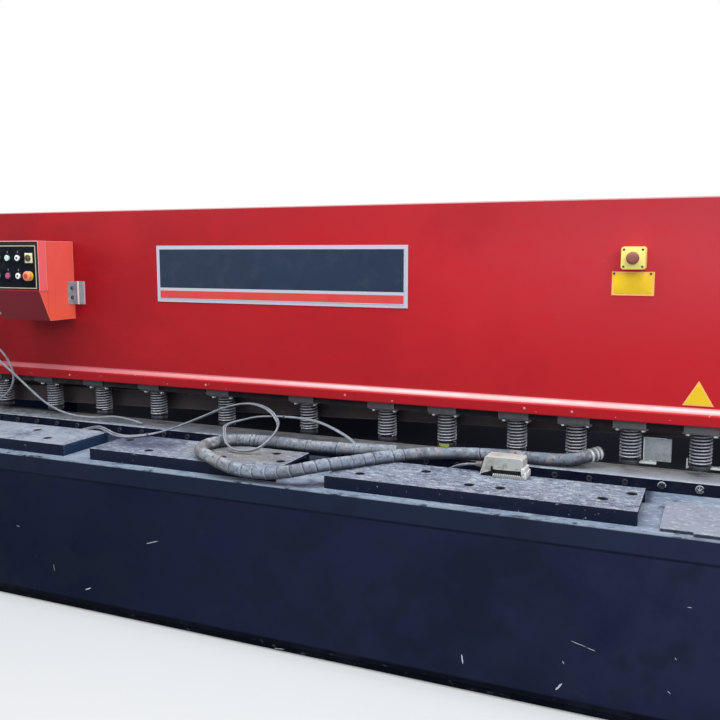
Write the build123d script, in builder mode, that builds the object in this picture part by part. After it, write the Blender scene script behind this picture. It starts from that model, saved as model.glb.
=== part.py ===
from build123d import *
import os
from math import radians, tan

os.makedirs("parts", exist_ok=True)

# Frame: X along the machine, Y to the rear, Z up from the floor, in millimetres
# Driving dimensions of the machine
cutting_length = 4000
table_height = 700
upper_height = 1722
bed_front_y = -935
plate_face_y = -400
cut_line_y = -256
rear_end_y = 935
half_length = cutting_length / 2

# Flats of the small round forms, which are drawn as prisms
round_sides = 12
sleeve_sides = 8
spring_sides = 8
stem_sides = 8
pipe_sides = 6
cable_sides = 4

# Side frames: C-shaped plates with a throat at table height
frame_thickness = 50
frame_rear_y = 600
frame_corner = 60
frame_shoulder = 260
throat_height = 250
throat_centre_z = table_height + 65
throat_depth_y = 10
foot_width = 150
foot_length = 220
foot_thickness = 30
foot_front_y = -780
foot_rear_y = 480
anchor_radius = 14
gusset_height = 160
gusset_thickness = 20
lifting_eye_radius = 45
lifting_eye_z = upper_height - 122
lifting_eye_y = 120

# Folded front plate
plate_thickness = 12
plate_return = 100
lip_bottom_z = table_height + 204
lip_height = 38
joggle_height = 20
joggle_depth = 18

# Hold-down beam behind the front plate
beam_bottom_z = table_height + 175
beam_depth = 124
beam_height = 150

# Bed
table_plate_height = 49
ledge_z = table_height - table_plate_height
wall_thickness = 30
wall_lean = 10
wall_band_height = 68
plinth_height = 32
plinth_recess = 15
bed_plate_thickness = 40
web_front_y = -400
web_thickness = 60
rib_pitch = 800
rib_count = 4
rib_thickness = 15
sole_thickness = 25
sole_rear_y = -120

# End blocks on the bed, beyond the table plates
block_rise = 11
block_inner_x = half_length - 350
block_step_x = half_length - 250
block_rear_y = -575
block_front_inset = 15

# Raised table plates: inverted channels resting on the bed, each with its two ends and its
# holes, which are placed from the left end or, where negative, from the right end
table_plate_front_y = -869
table_plate_rear_y = -575
table_plate_wall = 12
table_hole_radius = 13
table_plate_end_x = block_inner_x - 70
table_plates = {
    "left": (-table_plate_end_x, -790, [(-333, -675), (-164, -788)]),
    "middle": (-645, 252, [(57, -674), (259, -805), (602, -778), (-118, -640), (-41, -747)]),
    "right": (
        462,
        table_plate_end_x,
        [(113, -792), (331, -664), (533, -778), (645, -774), (-123, -763), (-38, -664)],
    ),
}

# Lower blade, its holder and the holder's bolts
blade_thickness = 25
blade_height = 80
blade_end_gap = 10
holder_front_y = -426
holder_chamfer = 3
holder_bolt_z = table_height - 24
holder_bolt_pitch = 130
holder_bolt_count = int((cutting_length - holder_bolt_pitch / 2) / holder_bolt_pitch)
holder_bolt_radius = 13
holder_bolt_height = 9

# Upper blade and its beam, at the top of the stroke
blade_clearance = 0.6
rake_angle = 1.5
upper_edge_z = table_height + 32
blade_beam_thickness = 80
blade_beam_top_z = table_height + 600
blade_beam_end_gap = 15
beam_edge_gap = 8
beam_rib_pitch = 900
beam_rib_count = 4
beam_rib_depth = 80
beam_rib_thickness = 20
beam_rib_bottom_z = table_height + 230

# Guides for the blade beam
sliding_gap = 0.3
guide_width = 70
guide_thickness = 32
guide_bottom_z = table_height + 250
guide_top_z = blade_beam_top_z - 10

# Main cylinders
cylinder_x = half_length - 200
barrel_radius = 75
barrel_bottom_z = blade_beam_top_z + 85
barrel_top_z = upper_height - 62
barrel_wall_top = 30
rod_radius = 35
rod_top_gap = 70
rod_foot_radius = 60
rod_foot_height = 25
running_clearance = 0.05
bracket_thickness = 40
bracket_depth = 180
bracket_inner_x = half_length - 285

# Hold-downs: centres as shares of the half length, wider apart at the left
hold_down_shares = (
    -0.844, -0.674, -0.516, -0.349, -0.156, 0.0595, 0.248, 0.3825, 0.53, 0.647, 0.7495, 0.875,
)
hold_down_x = [share * half_length for share in hold_down_shares]
hold_down_y = plate_face_y + 88
flange_width = 130
flange_depth = 100
flange_thickness = 12
flange_bolt_x = 47
flange_bolt_y = 34
flange_bolt_radius = 10
flange_bolt_height = 8
sleeve_radius = 30
sleeve_length = 62
piston_radius = 25
piston_top_gap = 3
spring_radius = 41
spring_wire = 8
foot_radius = 39
foot_bottom_z = table_height + 22
foot_height = 19
lug_width = 58
lug_depth = 30
lug_thickness = 8
lug_count = 2

# Rear structure and hydraulics
tie_front_y = 150
tie_depth = 200
tie_bottom_z = table_height + 400
tie_height = 150
tie_wall = 12
tank_left_x = -650
tank_right_x = 500
tank_front_y = 110
tank_depth = 420
filler_radius = 35
filler_height = 40
motor_radius = 100
motor_left_x = 620
motor_length = 340
motor_seat = 18
bell_radius = 62
valve_left_x = -960
valve_length = 230
valve_depth = 150
valve_height = 110
valve_coil_width = 45
pipe_radius = 11
pipe_bend = 60
pipe_left_z = barrel_top_z - 45
pipe_right_z = barrel_top_z - 17
pipe_tank_gap = 42
tank_height = pipe_right_z - pipe_radius - pipe_tank_gap - tie_bottom_z - tie_height

# Rear slide for cut sheet
slide_top = (cut_line_y + 11, table_height - 155)
slide_foot = (560, 150)
slide_thickness = 8

# Guard plate between the side frames, over the foot of the slide
guard_top_z = table_height - 20
guard_height = 195
guard_depth = 45
guard_thickness = 6

# Back gauge
rail_width = 60
rail_bottom_z = table_height + 80
rail_height = 50
rail_front_y = 20
rail_stop_length = 15
rail_stop_height = 20
gauge_front_y = rear_end_y - 85
gauge_depth = 50
gauge_bottom_z = table_height - 10
gauge_height = 80
shoe_length = 80
shoe_height = 30
shoe_plate = 25
finger_pitch = 900
finger_count = 4
finger_width = 60
finger_reach = 30

# Nameplate, marker plates
nameplate_x = 0
nameplate_z = upper_height - 294
nameplate_width = 1236
nameplate_height = 257
nameplate_thickness = 3
nameplate_border = 14
field_thickness = 1.5
info_x = half_length - 508
info_z = upper_height - 309
info_width = 149
info_height = 87
marker_thickness = 2
triangle_x = half_length - 267
triangle_bottom_z = lip_bottom_z + 73
triangle_width = 106
triangle_height = 91

# Control box on the front plate
box_right_x = 887 - half_length
box_width = 294
box_front_y = plate_face_y - 232
box_top_z = upper_height - 144
box_fold_z = box_top_z - 230
box_bottom_z = box_fold_z - 143
box_bottom_front_y = plate_face_y - 170
cover_depth = 52
cover_proud = 1.5
panel_margin = 10
panel_top_z = box_top_z - 20
panel_bottom_z = box_fold_z + 10
panel_thickness = 2
button_column_x = box_right_x - 51
button_pitch = 63
button_row_top_z = box_top_z - 78
button_row_bottom_z = box_top_z - 161
bezel_radius = 18
bezel_height = 4
stem_radius = 11
stem_depth = 14
cap_radius = 14
cap_height = 5
press_gap = 4
key_bezel = 46
mushroom_radius = 23
mushroom_height = 16
mushroom_gap = 7
knob_radius = 15
key_stem_radius = 9
knob_height = 8
lever_length = 26
lever_width = 7
lever_height = 9
gland_radius = 10
gland_length = 25
gland_y = plate_face_y - 100
gland_rises = (57, 23)
angle_top_z = box_fold_z + 39
angle_bottom_z = box_fold_z - 72
angle_leg = 46
angle_reach = 66
angle_thickness = 3
angle_rib = 14
angle_screw_radius = 5

# Stop button box on the front plate
stop_x = half_length - 506
stop_z = upper_height - 216
stop_width = 86
stop_height = 82
stop_depth = 55
stop_corner = 8

# Hose and cables lying on the table; every route is a list of hand-placed points
hose_radius = 26
cable_radius = 5.5
thick_cable_radius = 7
hose_rest_z = 724.5
hose_route = [
    (1390, -330, 756), (1350, -370, 747.5), (1298, -387, 732), (1226, -389, hose_rest_z),
    (1130, -388, hose_rest_z), (1030, -395, hose_rest_z), (928, -413, hose_rest_z),
    (834, -440, hose_rest_z), (748, -478, hose_rest_z), (676, -528, hose_rest_z),
    (612, -592, hose_rest_z), (556, -664, hose_rest_z), (504, -742, hose_rest_z),
    (452, -816, 728), (392, -872, 721), (318, -897, 704), (238, -899, 692), (155, -898, 688),
    (78, -898, 695), (14, -898, 716), (-46, -868, 732), (-100, -808, 729),
    (-144, -742, hose_rest_z), (-164, -672, hose_rest_z), (-136, -608, hose_rest_z),
    (-78, -568, hose_rest_z), (-10, -552, hose_rest_z), (74, -548, 725), (160, -545, 722),
    (254, -536, 720), (344, -520, 718), (430, -500, 716), (512, -474, 716), (590, -450, 712),
]
cable_a_route = [
    (-1432, -500, 1262), (-1545, -500, 1262), (-1650, -492, 1225), (-1690, -480, 1145),
    (-1630, -462, 1072), (-1545, -448, 1000), (-1505, -440, 900), (-1560, -434, 805),
    (-1680, -424, 745), (-1800, -412, 716),
]
cable_b_route = [
    (-1432, -500, 1228), (-1560, -500, 1228), (-1670, -510, 1180), (-1705, -506, 1095),
    (-1640, -496, 1030), (-1530, -476, 952), (-1420, -452, 855), (-1310, -432, 768),
    (-1180, -415, 722), (-1020, -402, 714), (-870, -394, 738), (-740, -392, 708),
]
cable_c_route = [
    (-1180, -512, 660), (-1060, -506, 661), (-945, -494, 694), (-815, -590, 722),
    (-645, -680, 709), (-552, -588, 708), (-520, -460, 714), (-400, -402, 765),
    (-265, -397, 826), (-140, -396, 857), (-38, -398, 835), (22, -422, 788),
    (88, -545, 784), (108, -640, 760), (66, -692, 717), (-22, -704, 709),
    (-88, -684, 733), (-130, -620, 778), (-172, -556, 770), (-202, -500, 762),
    (-212, -448, 765), (-176, -402, 773), (-90, -396, 797), (60, -395, 806),
    (200, -396, 799), (310, -400, 760), (395, -414, 718), (455, -470, 672),
    (560, -512, 660), (690, -512, 660), (820, -506, 664), (920, -590, 730),
    (991, -590, 730),
]
hood_x = cable_c_route[-1][0] + 75
hood_y = cable_c_route[-1][1]
hood_width = 150
hood_depth = 72
hood_height = 60
hood_chamfer = 14
contact_width = 128
contact_depth = 24
contact_height = 30

# Values worked out from the driving dimensions
bed_plate_bottom_z = ledge_z - bed_plate_thickness
holder_depth = cut_line_y - blade_thickness - holder_front_y
plate_back_y = plate_face_y + plate_thickness
beam_rear_y = plate_back_y + beam_depth
flange_bottom_z = beam_bottom_z - flange_thickness
foot_top_z = foot_bottom_z + foot_height
upper_blade_front_y = cut_line_y + blade_clearance
blade_beam_front_y = upper_blade_front_y + blade_thickness
blade_beam_rear_y = blade_beam_front_y + blade_beam_thickness
cylinder_y = (blade_beam_front_y + blade_beam_rear_y) / 2
rake_rise = tan(radians(rake_angle)) * cutting_length
tie_top_z = tie_bottom_z + tie_height
tie_centre_y = tie_front_y + tie_depth / 2
rail_top_z = rail_bottom_z + rail_height
rod_top_z = barrel_top_z - barrel_wall_top - rod_top_gap
button_face_y = box_front_y - panel_thickness


def block(x_range, y_range, z_range, mode=Mode.ADD):
    """One rectangular block between two values on each axis, in the part being built."""
    ranges = (x_range, y_range, z_range)
    centre = [(low + high) / 2 for low, high in ranges]
    with Locations(tuple(centre)):
        Box(*[high - low for low, high in ranges], mode=mode)


def corner_radii(points):
    """The largest arc for each corner of a route: 0.45 of the shorter run over the tangent."""
    corners = []
    for before, here, after in zip(points, points[1:], points[2:]):
        run_in = Vector(*here) - Vector(*before)
        run_out = Vector(*after) - Vector(*here)
        half_turn = radians(run_in.get_angle(run_out) / 2)
        corners.append(0.45 * min(run_in.length, run_out.length) / tan(half_turn))
    return corners


def cord(points, radius, sides, label):
    """A tube of flats along a route of straight runs and tangent arcs."""
    corners = corner_radii(points)
    with BuildPart() as tube:
        with BuildLine() as path:
            FilletPolyline(*points, radius=corners)
        with BuildSketch(Plane(origin=path.line @ 0, z_dir=path.line % 0)) as section:
            RegularPolygon(radius, sides)
        sweep(path=path.line)
    tube.part.label = label
    export_step(tube.part, f"parts/{label}.step")
    print(label, "radii", [round(corner) for corner in corners])
    print(label, "volume", tube.part.volume / (section.sketch.area * path.wire().length))


# Side frames
with BuildPart() as side_frame_right:
    with BuildSketch(Plane.YZ.offset(half_length)) as frame_profile:
        with BuildLine():
            Polyline(
                (bed_front_y, 0),
                (bed_front_y, ledge_z),
                (plate_back_y, ledge_z),
                (plate_back_y, upper_height - plate_thickness),
                (frame_rear_y - frame_shoulder, upper_height - plate_thickness),
                (frame_rear_y, upper_height - plate_thickness - frame_shoulder),
                (frame_rear_y, 0),
                close=True,
            )
        make_face()
        chamfer(frame_profile.vertices().group_by(Axis.Y)[-1], frame_corner)
        throat_arc_y = throat_depth_y - throat_height / 2
        with Locations(((bed_front_y + throat_arc_y) / 2, throat_centre_z)):
            Rectangle(throat_arc_y - bed_front_y, throat_height, mode=Mode.SUBTRACT)
        with Locations((throat_arc_y, throat_centre_z)):
            Circle(throat_height / 2, mode=Mode.SUBTRACT)
        with Locations((lifting_eye_y, lifting_eye_z)):
            RegularPolygon(lifting_eye_radius, round_sides, mode=Mode.SUBTRACT)
    extrude(amount=frame_thickness)
    frame_outer_x = half_length + frame_thickness
    for foot_y in (foot_front_y, foot_rear_y):
        foot_range = (foot_y - foot_length / 2, foot_y + foot_length / 2)
        block((frame_outer_x, frame_outer_x + foot_width), foot_range, (0, foot_thickness))
        with Locations((frame_outer_x + foot_width / 2, foot_y + foot_length / 4, foot_thickness)):
            Hole(anchor_radius, depth=foot_thickness)
        with BuildSketch(Plane.XZ.offset(gusset_thickness / 2 - foot_y)):
            with BuildLine():
                Polyline(
                    (frame_outer_x, foot_thickness),
                    (frame_outer_x + foot_width, foot_thickness),
                    (frame_outer_x, foot_thickness + gusset_height),
                    close=True,
                )
            make_face()
        extrude(amount=-gusset_thickness)
side_frame_right.part.label = "side_frame_right"
export_step(side_frame_right.part, "parts/side_frame_right.step")

with BuildPart() as side_frame_left:
    mirror(side_frame_right.part, about=Plane.YZ)
side_frame_left.part.label = "side_frame_left"
export_step(side_frame_left.part, "parts/side_frame_left.step")

# Folded front plate: top return, flat panel, joggle and lip
with BuildPart() as front_plate:
    with BuildSketch(Plane.YZ.offset(-half_length)):
        with BuildLine():
            lip_face_y = plate_face_y - joggle_depth
            lip_top_z = lip_bottom_z + lip_height
            joggle_top_z = lip_top_z + joggle_height
            Polyline(
                (lip_face_y, lip_bottom_z),
                (lip_face_y, lip_top_z),
                (plate_face_y, joggle_top_z),
                (plate_face_y, upper_height),
                (plate_face_y + plate_return, upper_height),
                (plate_face_y + plate_return, upper_height - plate_thickness),
                (plate_back_y, upper_height - plate_thickness),
                (plate_back_y, joggle_top_z - plate_thickness / 2),
                (plate_back_y - joggle_depth, lip_top_z - plate_thickness / 2),
                (plate_back_y - joggle_depth, lip_bottom_z),
                close=True,
            )
        make_face()
    extrude(amount=cutting_length)
front_plate.part.label = "front_plate"
export_step(front_plate.part, "parts/front_plate.step")

with BuildPart() as hold_down_beam:
    block(
        (-half_length, half_length),
        (plate_back_y, beam_rear_y),
        (beam_bottom_z, beam_bottom_z + beam_height),
    )
    beam_edges = hold_down_beam.edges().filter_by(Axis.X).group_by(Axis.Y)[-1]
    chamfer(beam_edges, plate_thickness)
hold_down_beam.part.label = "hold_down_beam"
export_step(hold_down_beam.part, "parts/hold_down_beam.step")

# Bed: front wall with its leaning band and plinth, top plate, web with ribs and sole
with BuildPart() as bed_front_wall:
    with BuildSketch(Plane.YZ.offset(-half_length)):
        with BuildLine():
            wall_back_y = bed_front_y + wall_thickness
            Polyline(
                (bed_front_y + plinth_recess, 0),
                (bed_front_y + plinth_recess, plinth_height),
                (bed_front_y, plinth_height),
                (bed_front_y, ledge_z - wall_band_height),
                (bed_front_y + wall_lean, ledge_z),
                (wall_back_y, ledge_z),
                (wall_back_y, 0),
                close=True,
            )
        make_face()
    extrude(amount=cutting_length)
bed_front_wall.part.label = "bed_front_wall"
export_step(bed_front_wall.part, "parts/bed_front_wall.step")

with BuildPart() as bed_top_plate:
    bed_plate_rear_y = cut_line_y - blade_thickness
    block(
        (-half_length, half_length),
        (wall_back_y, bed_plate_rear_y),
        (bed_plate_bottom_z, ledge_z),
    )
    block_top_z = ledge_z + block_rise
    block_front_y = wall_back_y
    for inner_x, outer_x, front_y in (
        (block_inner_x, block_step_x, block_front_y + block_front_inset),
        (block_step_x, half_length, block_front_y),
    ):
        for low_x, high_x in ((inner_x, outer_x), (-outer_x, -inner_x)):
            block((low_x, high_x), (front_y, block_rear_y), (ledge_z, block_top_z))
bed_top_plate.part.label = "bed_top_plate"
export_step(bed_top_plate.part, "parts/bed_top_plate.step")

with BuildPart() as bed_web:
    web_rear_y = web_front_y + web_thickness
    block((-half_length, half_length), (web_front_y, web_rear_y), (0, bed_plate_bottom_z))
    block((-half_length, half_length), (wall_back_y, sole_rear_y), (0, sole_thickness))
    for rib in range(rib_count):
        rib_x = (rib - (rib_count - 1) / 2) * rib_pitch
        rib_range = (rib_x - rib_thickness / 2, rib_x + rib_thickness / 2)
        block(rib_range, (wall_back_y, web_front_y), (sole_thickness, bed_plate_bottom_z))
bed_web.part.label = "bed_web"
export_step(bed_web.part, "parts/bed_web.step")

# Raised table plates
for side, (left_x, right_x, hole_places) in table_plates.items():
    with BuildPart() as table_plate:
        block(
            (left_x, right_x),
            (table_plate_front_y, table_plate_rear_y),
            (ledge_z, table_height),
        )
        block(
            (left_x, right_x),
            (table_plate_front_y + table_plate_wall, table_plate_rear_y - table_plate_wall),
            (ledge_z, table_height - table_plate_wall),
            mode=Mode.SUBTRACT,
        )
        with BuildSketch(Plane.XY.offset(table_height)):
            for hole_x, hole_y in hole_places:
                with Locations(((left_x if hole_x > 0 else right_x) + hole_x, hole_y)):
                    RegularPolygon(table_hole_radius, round_sides)
        extrude(amount=-table_plate_wall, mode=Mode.SUBTRACT)
    table_plate.part.label = f"table_plate_{side}"
    export_step(table_plate.part, f"parts/table_plate_{side}.step")

# Lower blade holder, blade and bolts
with BuildPart() as blade_holder:
    block(
        (-half_length, half_length),
        (holder_front_y, holder_front_y + holder_depth),
        (ledge_z, table_height),
    )
    holder_edge = blade_holder.edges().filter_by(Axis.X).group_by(Axis.Z)[-1].sort_by(Axis.Y)[0]
    chamfer(holder_edge, holder_chamfer)
blade_holder.part.label = "blade_holder"
export_step(blade_holder.part, "parts/blade_holder.step")

blade_half_length = half_length - blade_end_gap
with BuildPart() as lower_blade:
    block(
        (-blade_half_length, blade_half_length),
        (cut_line_y - blade_thickness, cut_line_y),
        (table_height - blade_height, table_height),
    )
lower_blade.part.label = "lower_blade"
export_step(lower_blade.part, "parts/lower_blade.step")

with BuildPart() as lower_blade_bolts:
    with BuildSketch(Plane.XZ.offset(-holder_front_y)):
        with Locations((0, holder_bolt_z)):
            with GridLocations(holder_bolt_pitch, 1, holder_bolt_count, 1):
                RegularPolygon(holder_bolt_radius, 6)
    extrude(amount=holder_bolt_height)
lower_blade_bolts.part.label = "lower_blade_bolts"
export_step(lower_blade_bolts.part, "parts/lower_blade_bolts.step")

# Blade beam with ribs; its lower edge follows the rake of the upper blade
with BuildPart() as blade_beam:
    with BuildSketch(Plane.XZ.offset(-blade_beam_rear_y)):
        with BuildLine():
            beam_half_length = half_length - blade_beam_end_gap
            beam_low_z = upper_edge_z + beam_edge_gap
            Polyline(
                (-beam_half_length, beam_low_z),
                (beam_half_length, beam_low_z + rake_rise),
                (beam_half_length, blade_beam_top_z),
                (-beam_half_length, blade_beam_top_z),
                close=True,
            )
        make_face()
    extrude(amount=blade_beam_thickness)
    for rib in range(beam_rib_count):
        rib_x = (rib - (beam_rib_count - 1) / 2) * beam_rib_pitch
        block(
            (rib_x - beam_rib_thickness / 2, rib_x + beam_rib_thickness / 2),
            (blade_beam_rear_y, blade_beam_rear_y + beam_rib_depth),
            (beam_rib_bottom_z, blade_beam_top_z),
        )
blade_beam.part.label = "blade_beam"
export_step(blade_beam.part, "parts/blade_beam.step")

with BuildPart() as upper_blade:
    with BuildSketch(Plane.XZ.offset(-blade_beam_front_y)):
        with BuildLine():
            Polyline(
                (-blade_half_length, upper_edge_z),
                (blade_half_length, upper_edge_z + rake_rise),
                (blade_half_length, upper_edge_z + rake_rise + blade_height),
                (-blade_half_length, upper_edge_z + blade_height),
                close=True,
            )
        make_face()
    extrude(amount=blade_thickness)
upper_blade.part.label = "upper_blade"
export_step(upper_blade.part, "parts/upper_blade.step")

# Guide bars for the blade beam, two at each end
with BuildPart() as beam_guides:
    front_guide_rear_y = blade_beam_front_y - sliding_gap
    rear_guide_front_y = blade_beam_rear_y + sliding_gap
    for y_range in (
        (front_guide_rear_y - guide_thickness, front_guide_rear_y),
        (rear_guide_front_y, rear_guide_front_y + guide_thickness),
    ):
        for x_range in (
            (half_length - guide_width, half_length),
            (-half_length, guide_width - half_length),
        ):
            block(x_range, y_range, (guide_bottom_z, guide_top_z))
beam_guides.part.label = "beam_guides"
export_step(beam_guides.part, "parts/beam_guides.step")

# Main cylinders: barrels on the side frames, rods on the blade beam
with BuildPart() as cylinder_barrels:
    bore_radius = rod_radius + running_clearance
    for side in (-1, 1):
        with BuildSketch(Plane.XY.offset(barrel_bottom_z)):
            with Locations((side * cylinder_x, cylinder_y)):
                Circle(barrel_radius)
        extrude(amount=barrel_top_z - barrel_bottom_z)
        bracket_x = sorted((side * bracket_inner_x, side * half_length))
        bracket_y = (cylinder_y - bracket_depth / 2, cylinder_y + bracket_depth / 2)
        block(bracket_x, bracket_y, (barrel_top_z, barrel_top_z + bracket_thickness))
        with BuildSketch(Plane.XY.offset(barrel_bottom_z)):
            with Locations((side * cylinder_x, cylinder_y)):
                Circle(bore_radius)
        extrude(amount=barrel_top_z - barrel_wall_top - barrel_bottom_z, mode=Mode.SUBTRACT)
cylinder_barrels.part.label = "cylinder_barrels"
export_step(cylinder_barrels.part, "parts/cylinder_barrels.step")

with BuildPart() as cylinder_rods:
    with BuildSketch(Plane.XY.offset(blade_beam_top_z)):
        with Locations((cylinder_x, cylinder_y), (-cylinder_x, cylinder_y)):
            Circle(rod_radius)
    extrude(amount=rod_top_z - blade_beam_top_z)
    with BuildSketch(Plane.XY.offset(blade_beam_top_z)):
        with Locations((cylinder_x, cylinder_y), (-cylinder_x, cylinder_y)):
            Rectangle(2 * rod_foot_radius, blade_beam_thickness)
    extrude(amount=rod_foot_height)
cylinder_rods.part.label = "cylinder_rods"
export_step(cylinder_rods.part, "parts/cylinder_rods.step")

# Hold-down housings: a flange under the beam and a sleeve with a blind bore
with BuildPart() as hold_down_housings:
    hold_down_places = [(x, hold_down_y) for x in hold_down_x]
    with BuildSketch(Plane.XY.offset(flange_bottom_z)):
        with Locations(*hold_down_places):
            Rectangle(flange_width, flange_depth)
    extrude(amount=flange_thickness)
    with BuildSketch(Plane.XY.offset(flange_bottom_z)):
        with Locations(*hold_down_places):
            RegularPolygon(sleeve_radius, sleeve_sides)
    extrude(amount=-sleeve_length)
    with BuildSketch(Plane.XY.offset(flange_bottom_z - sleeve_length)):
        with Locations(*hold_down_places):
            RegularPolygon(piston_radius + running_clearance, sleeve_sides)
    extrude(amount=sleeve_length + flange_thickness, mode=Mode.SUBTRACT)
hold_down_housings.part.label = "hold_down_housings"
export_step(hold_down_housings.part, "parts/hold_down_housings.step")

with BuildPart() as flange_bolts:
    with BuildSketch(Plane.XY.offset(flange_bottom_z)):
        with Locations(*hold_down_places):
            with GridLocations(2 * flange_bolt_x, 2 * flange_bolt_y, 2, 2):
                RegularPolygon(flange_bolt_radius, 6)
    extrude(amount=-flange_bolt_height)
flange_bolts.part.label = "flange_bolts"
export_step(flange_bolts.part, "parts/flange_bolts.step")

# Return springs, drawn as plain tubes of flats between flange and foot
with BuildPart() as hold_down_springs:
    with BuildSketch(Plane.XY.offset(foot_top_z)):
        with Locations(*hold_down_places):
            RegularPolygon(spring_radius, spring_sides)
            RegularPolygon(spring_radius - spring_wire, spring_sides, mode=Mode.SUBTRACT)
    extrude(amount=flange_bottom_z - foot_top_z)
hold_down_springs.part.label = "hold_down_springs"
export_step(hold_down_springs.part, "parts/hold_down_springs.step")

# Hold-down pistons with their round feet; the last two carry a small lug
for index, piston_x in enumerate(hold_down_x, 1):
    with BuildPart() as hold_down_piston:
        with BuildSketch(Plane.XY.offset(foot_bottom_z)):
            with Locations((piston_x, hold_down_y)):
                RegularPolygon(foot_radius, round_sides)
        extrude(amount=foot_height)
        with BuildSketch(Plane.XY.offset(foot_top_z)):
            with Locations((piston_x, hold_down_y)):
                RegularPolygon(piston_radius, sleeve_sides)
        extrude(amount=beam_bottom_z - piston_top_gap - foot_top_z)
        if index > len(hold_down_x) - lug_count:
            lug_bottom_z = foot_bottom_z + (foot_height - lug_thickness) / 2
            block(
                (piston_x + piston_radius, piston_x + foot_radius + lug_width),
                (hold_down_y - lug_depth / 2, hold_down_y + lug_depth / 2),
                (lug_bottom_z, lug_bottom_z + lug_thickness),
            )
    hold_down_piston.part.label = f"hold_down_piston_{index:02d}"
    export_step(hold_down_piston.part, f"parts/hold_down_piston_{index:02d}.step")

# Rear tie beam, power unit (oil tank, pump bell and motor), valve block and pipes
with BuildPart() as rear_tie_beam:
    block(
        (-half_length, half_length),
        (tie_front_y, tie_front_y + tie_depth),
        (tie_bottom_z, tie_top_z),
    )
    block(
        (-half_length, half_length),
        (tie_front_y + tie_wall, tie_front_y + tie_depth - tie_wall),
        (tie_bottom_z + tie_wall, tie_top_z - tie_wall),
        mode=Mode.SUBTRACT,
    )
rear_tie_beam.part.label = "rear_tie_beam"
export_step(rear_tie_beam.part, "parts/rear_tie_beam.step")

bottom = (Align.CENTER, Align.CENTER, Align.MIN)
with BuildPart() as power_unit:
    tank_top_z = tie_top_z + tank_height
    tank_rear_y = tank_front_y + tank_depth
    block((tank_left_x, tank_right_x), (tank_front_y, tank_rear_y), (tie_top_z, tank_top_z))
    chamfer(power_unit.edges().filter_by(Axis.X), tie_wall)
    with Locations((tank_left_x / 2, tank_rear_y - 2 * filler_radius, tank_top_z)):
        Cylinder(filler_radius, filler_height, align=bottom)
    motor_right_x = motor_left_x + motor_length
    motor_z = tie_top_z + motor_seat + motor_radius
    with BuildSketch(Plane.YZ.offset(motor_left_x)):
        with Locations((tie_centre_y, motor_z)):
            Circle(motor_radius)
    extrude(amount=motor_length)
    with BuildSketch(Plane.YZ.offset(tank_right_x)):
        with Locations((tie_centre_y, motor_z)):
            Circle(bell_radius)
    extrude(amount=motor_left_x - tank_right_x)
    block(
        (motor_left_x + motor_seat, motor_right_x - motor_seat),
        (tie_centre_y - motor_radius / 2, tie_centre_y + motor_radius / 2),
        (tie_top_z, motor_z),
    )
power_unit.part.label = "power_unit"
export_step(power_unit.part, "parts/power_unit.step")

valve_top_z = tie_top_z + valve_height
valve_range_y = (tie_centre_y - valve_depth / 2, tie_centre_y + valve_depth / 2)
pipe_y = valve_range_y[0] + 2 * pipe_radius
left_port_x = valve_left_x + 2 * pipe_radius
right_port_x = valve_left_x + valve_length - 2 * pipe_radius
barrel_rear_y = cylinder_y + barrel_radius
with BuildPart() as valve_block:
    block((valve_left_x, valve_left_x + valve_length), valve_range_y, (tie_top_z, valve_top_z))
    with BuildSketch(Plane.XZ.offset(-valve_range_y[1])):
        with Locations((valve_left_x + valve_length / 2, tie_top_z + valve_height / 2)):
            with GridLocations(1.5 * valve_coil_width, 1, 3, 1):
                Rectangle(valve_coil_width, valve_coil_width)
    extrude(amount=-valve_depth / 2)
    for port_x, pipe_z, end_x in (
        (left_port_x, pipe_left_z, -cylinder_x),
        (right_port_x, pipe_right_z, cylinder_x),
    ):
        with BuildLine() as pipe_path:
            FilletPolyline(
                (port_x, pipe_y, valve_top_z),
                (port_x, pipe_y, pipe_z),
                (end_x, pipe_y, pipe_z),
                (end_x, barrel_rear_y, pipe_z),
                radius=pipe_bend,
            )
        with BuildSketch(Plane.XY.offset(valve_top_z)):
            with Locations((port_x, pipe_y)):
                RegularPolygon(pipe_radius, pipe_sides)
        sweep(path=pipe_path.line)
valve_block.part.label = "valve_block"
export_step(valve_block.part, "parts/valve_block.step")

# Slide for cut sheet behind the blades
with BuildPart() as rear_slide:
    with BuildSketch(Plane.YZ.offset(-half_length)):
        with BuildLine():
            slide_top_y, slide_top_z = slide_top
            slide_foot_y, slide_foot_z = slide_foot
            Polyline(
                (slide_top_y, slide_top_z),
                (slide_foot_y, slide_foot_z),
                (slide_foot_y, slide_foot_z - slide_thickness),
                (slide_top_y, slide_top_z - slide_thickness),
                close=True,
            )
        make_face()
    extrude(amount=cutting_length)
rear_slide.part.label = "rear_slide"
export_step(rear_slide.part, "parts/rear_slide.step")

# Guard: a plate folded to a channel that opens to the rear
with BuildPart() as rear_guard:
    with BuildSketch(Plane.YZ.offset(-half_length)):
        with BuildLine():
            guard_front_y = frame_rear_y - guard_depth
            guard_bottom_z = guard_top_z - guard_height
            Polyline(
                (guard_front_y, guard_bottom_z),
                (guard_front_y, guard_top_z),
                (frame_rear_y, guard_top_z),
                (frame_rear_y, guard_top_z - guard_thickness),
                (guard_front_y + guard_thickness, guard_top_z - guard_thickness),
                (guard_front_y + guard_thickness, guard_bottom_z + guard_thickness),
                (frame_rear_y, guard_bottom_z + guard_thickness),
                (frame_rear_y, guard_bottom_z),
                close=True,
            )
        make_face()
    extrude(amount=cutting_length)
rear_guard.part.label = "rear_guard"
export_step(rear_guard.part, "parts/rear_guard.step")

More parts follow.
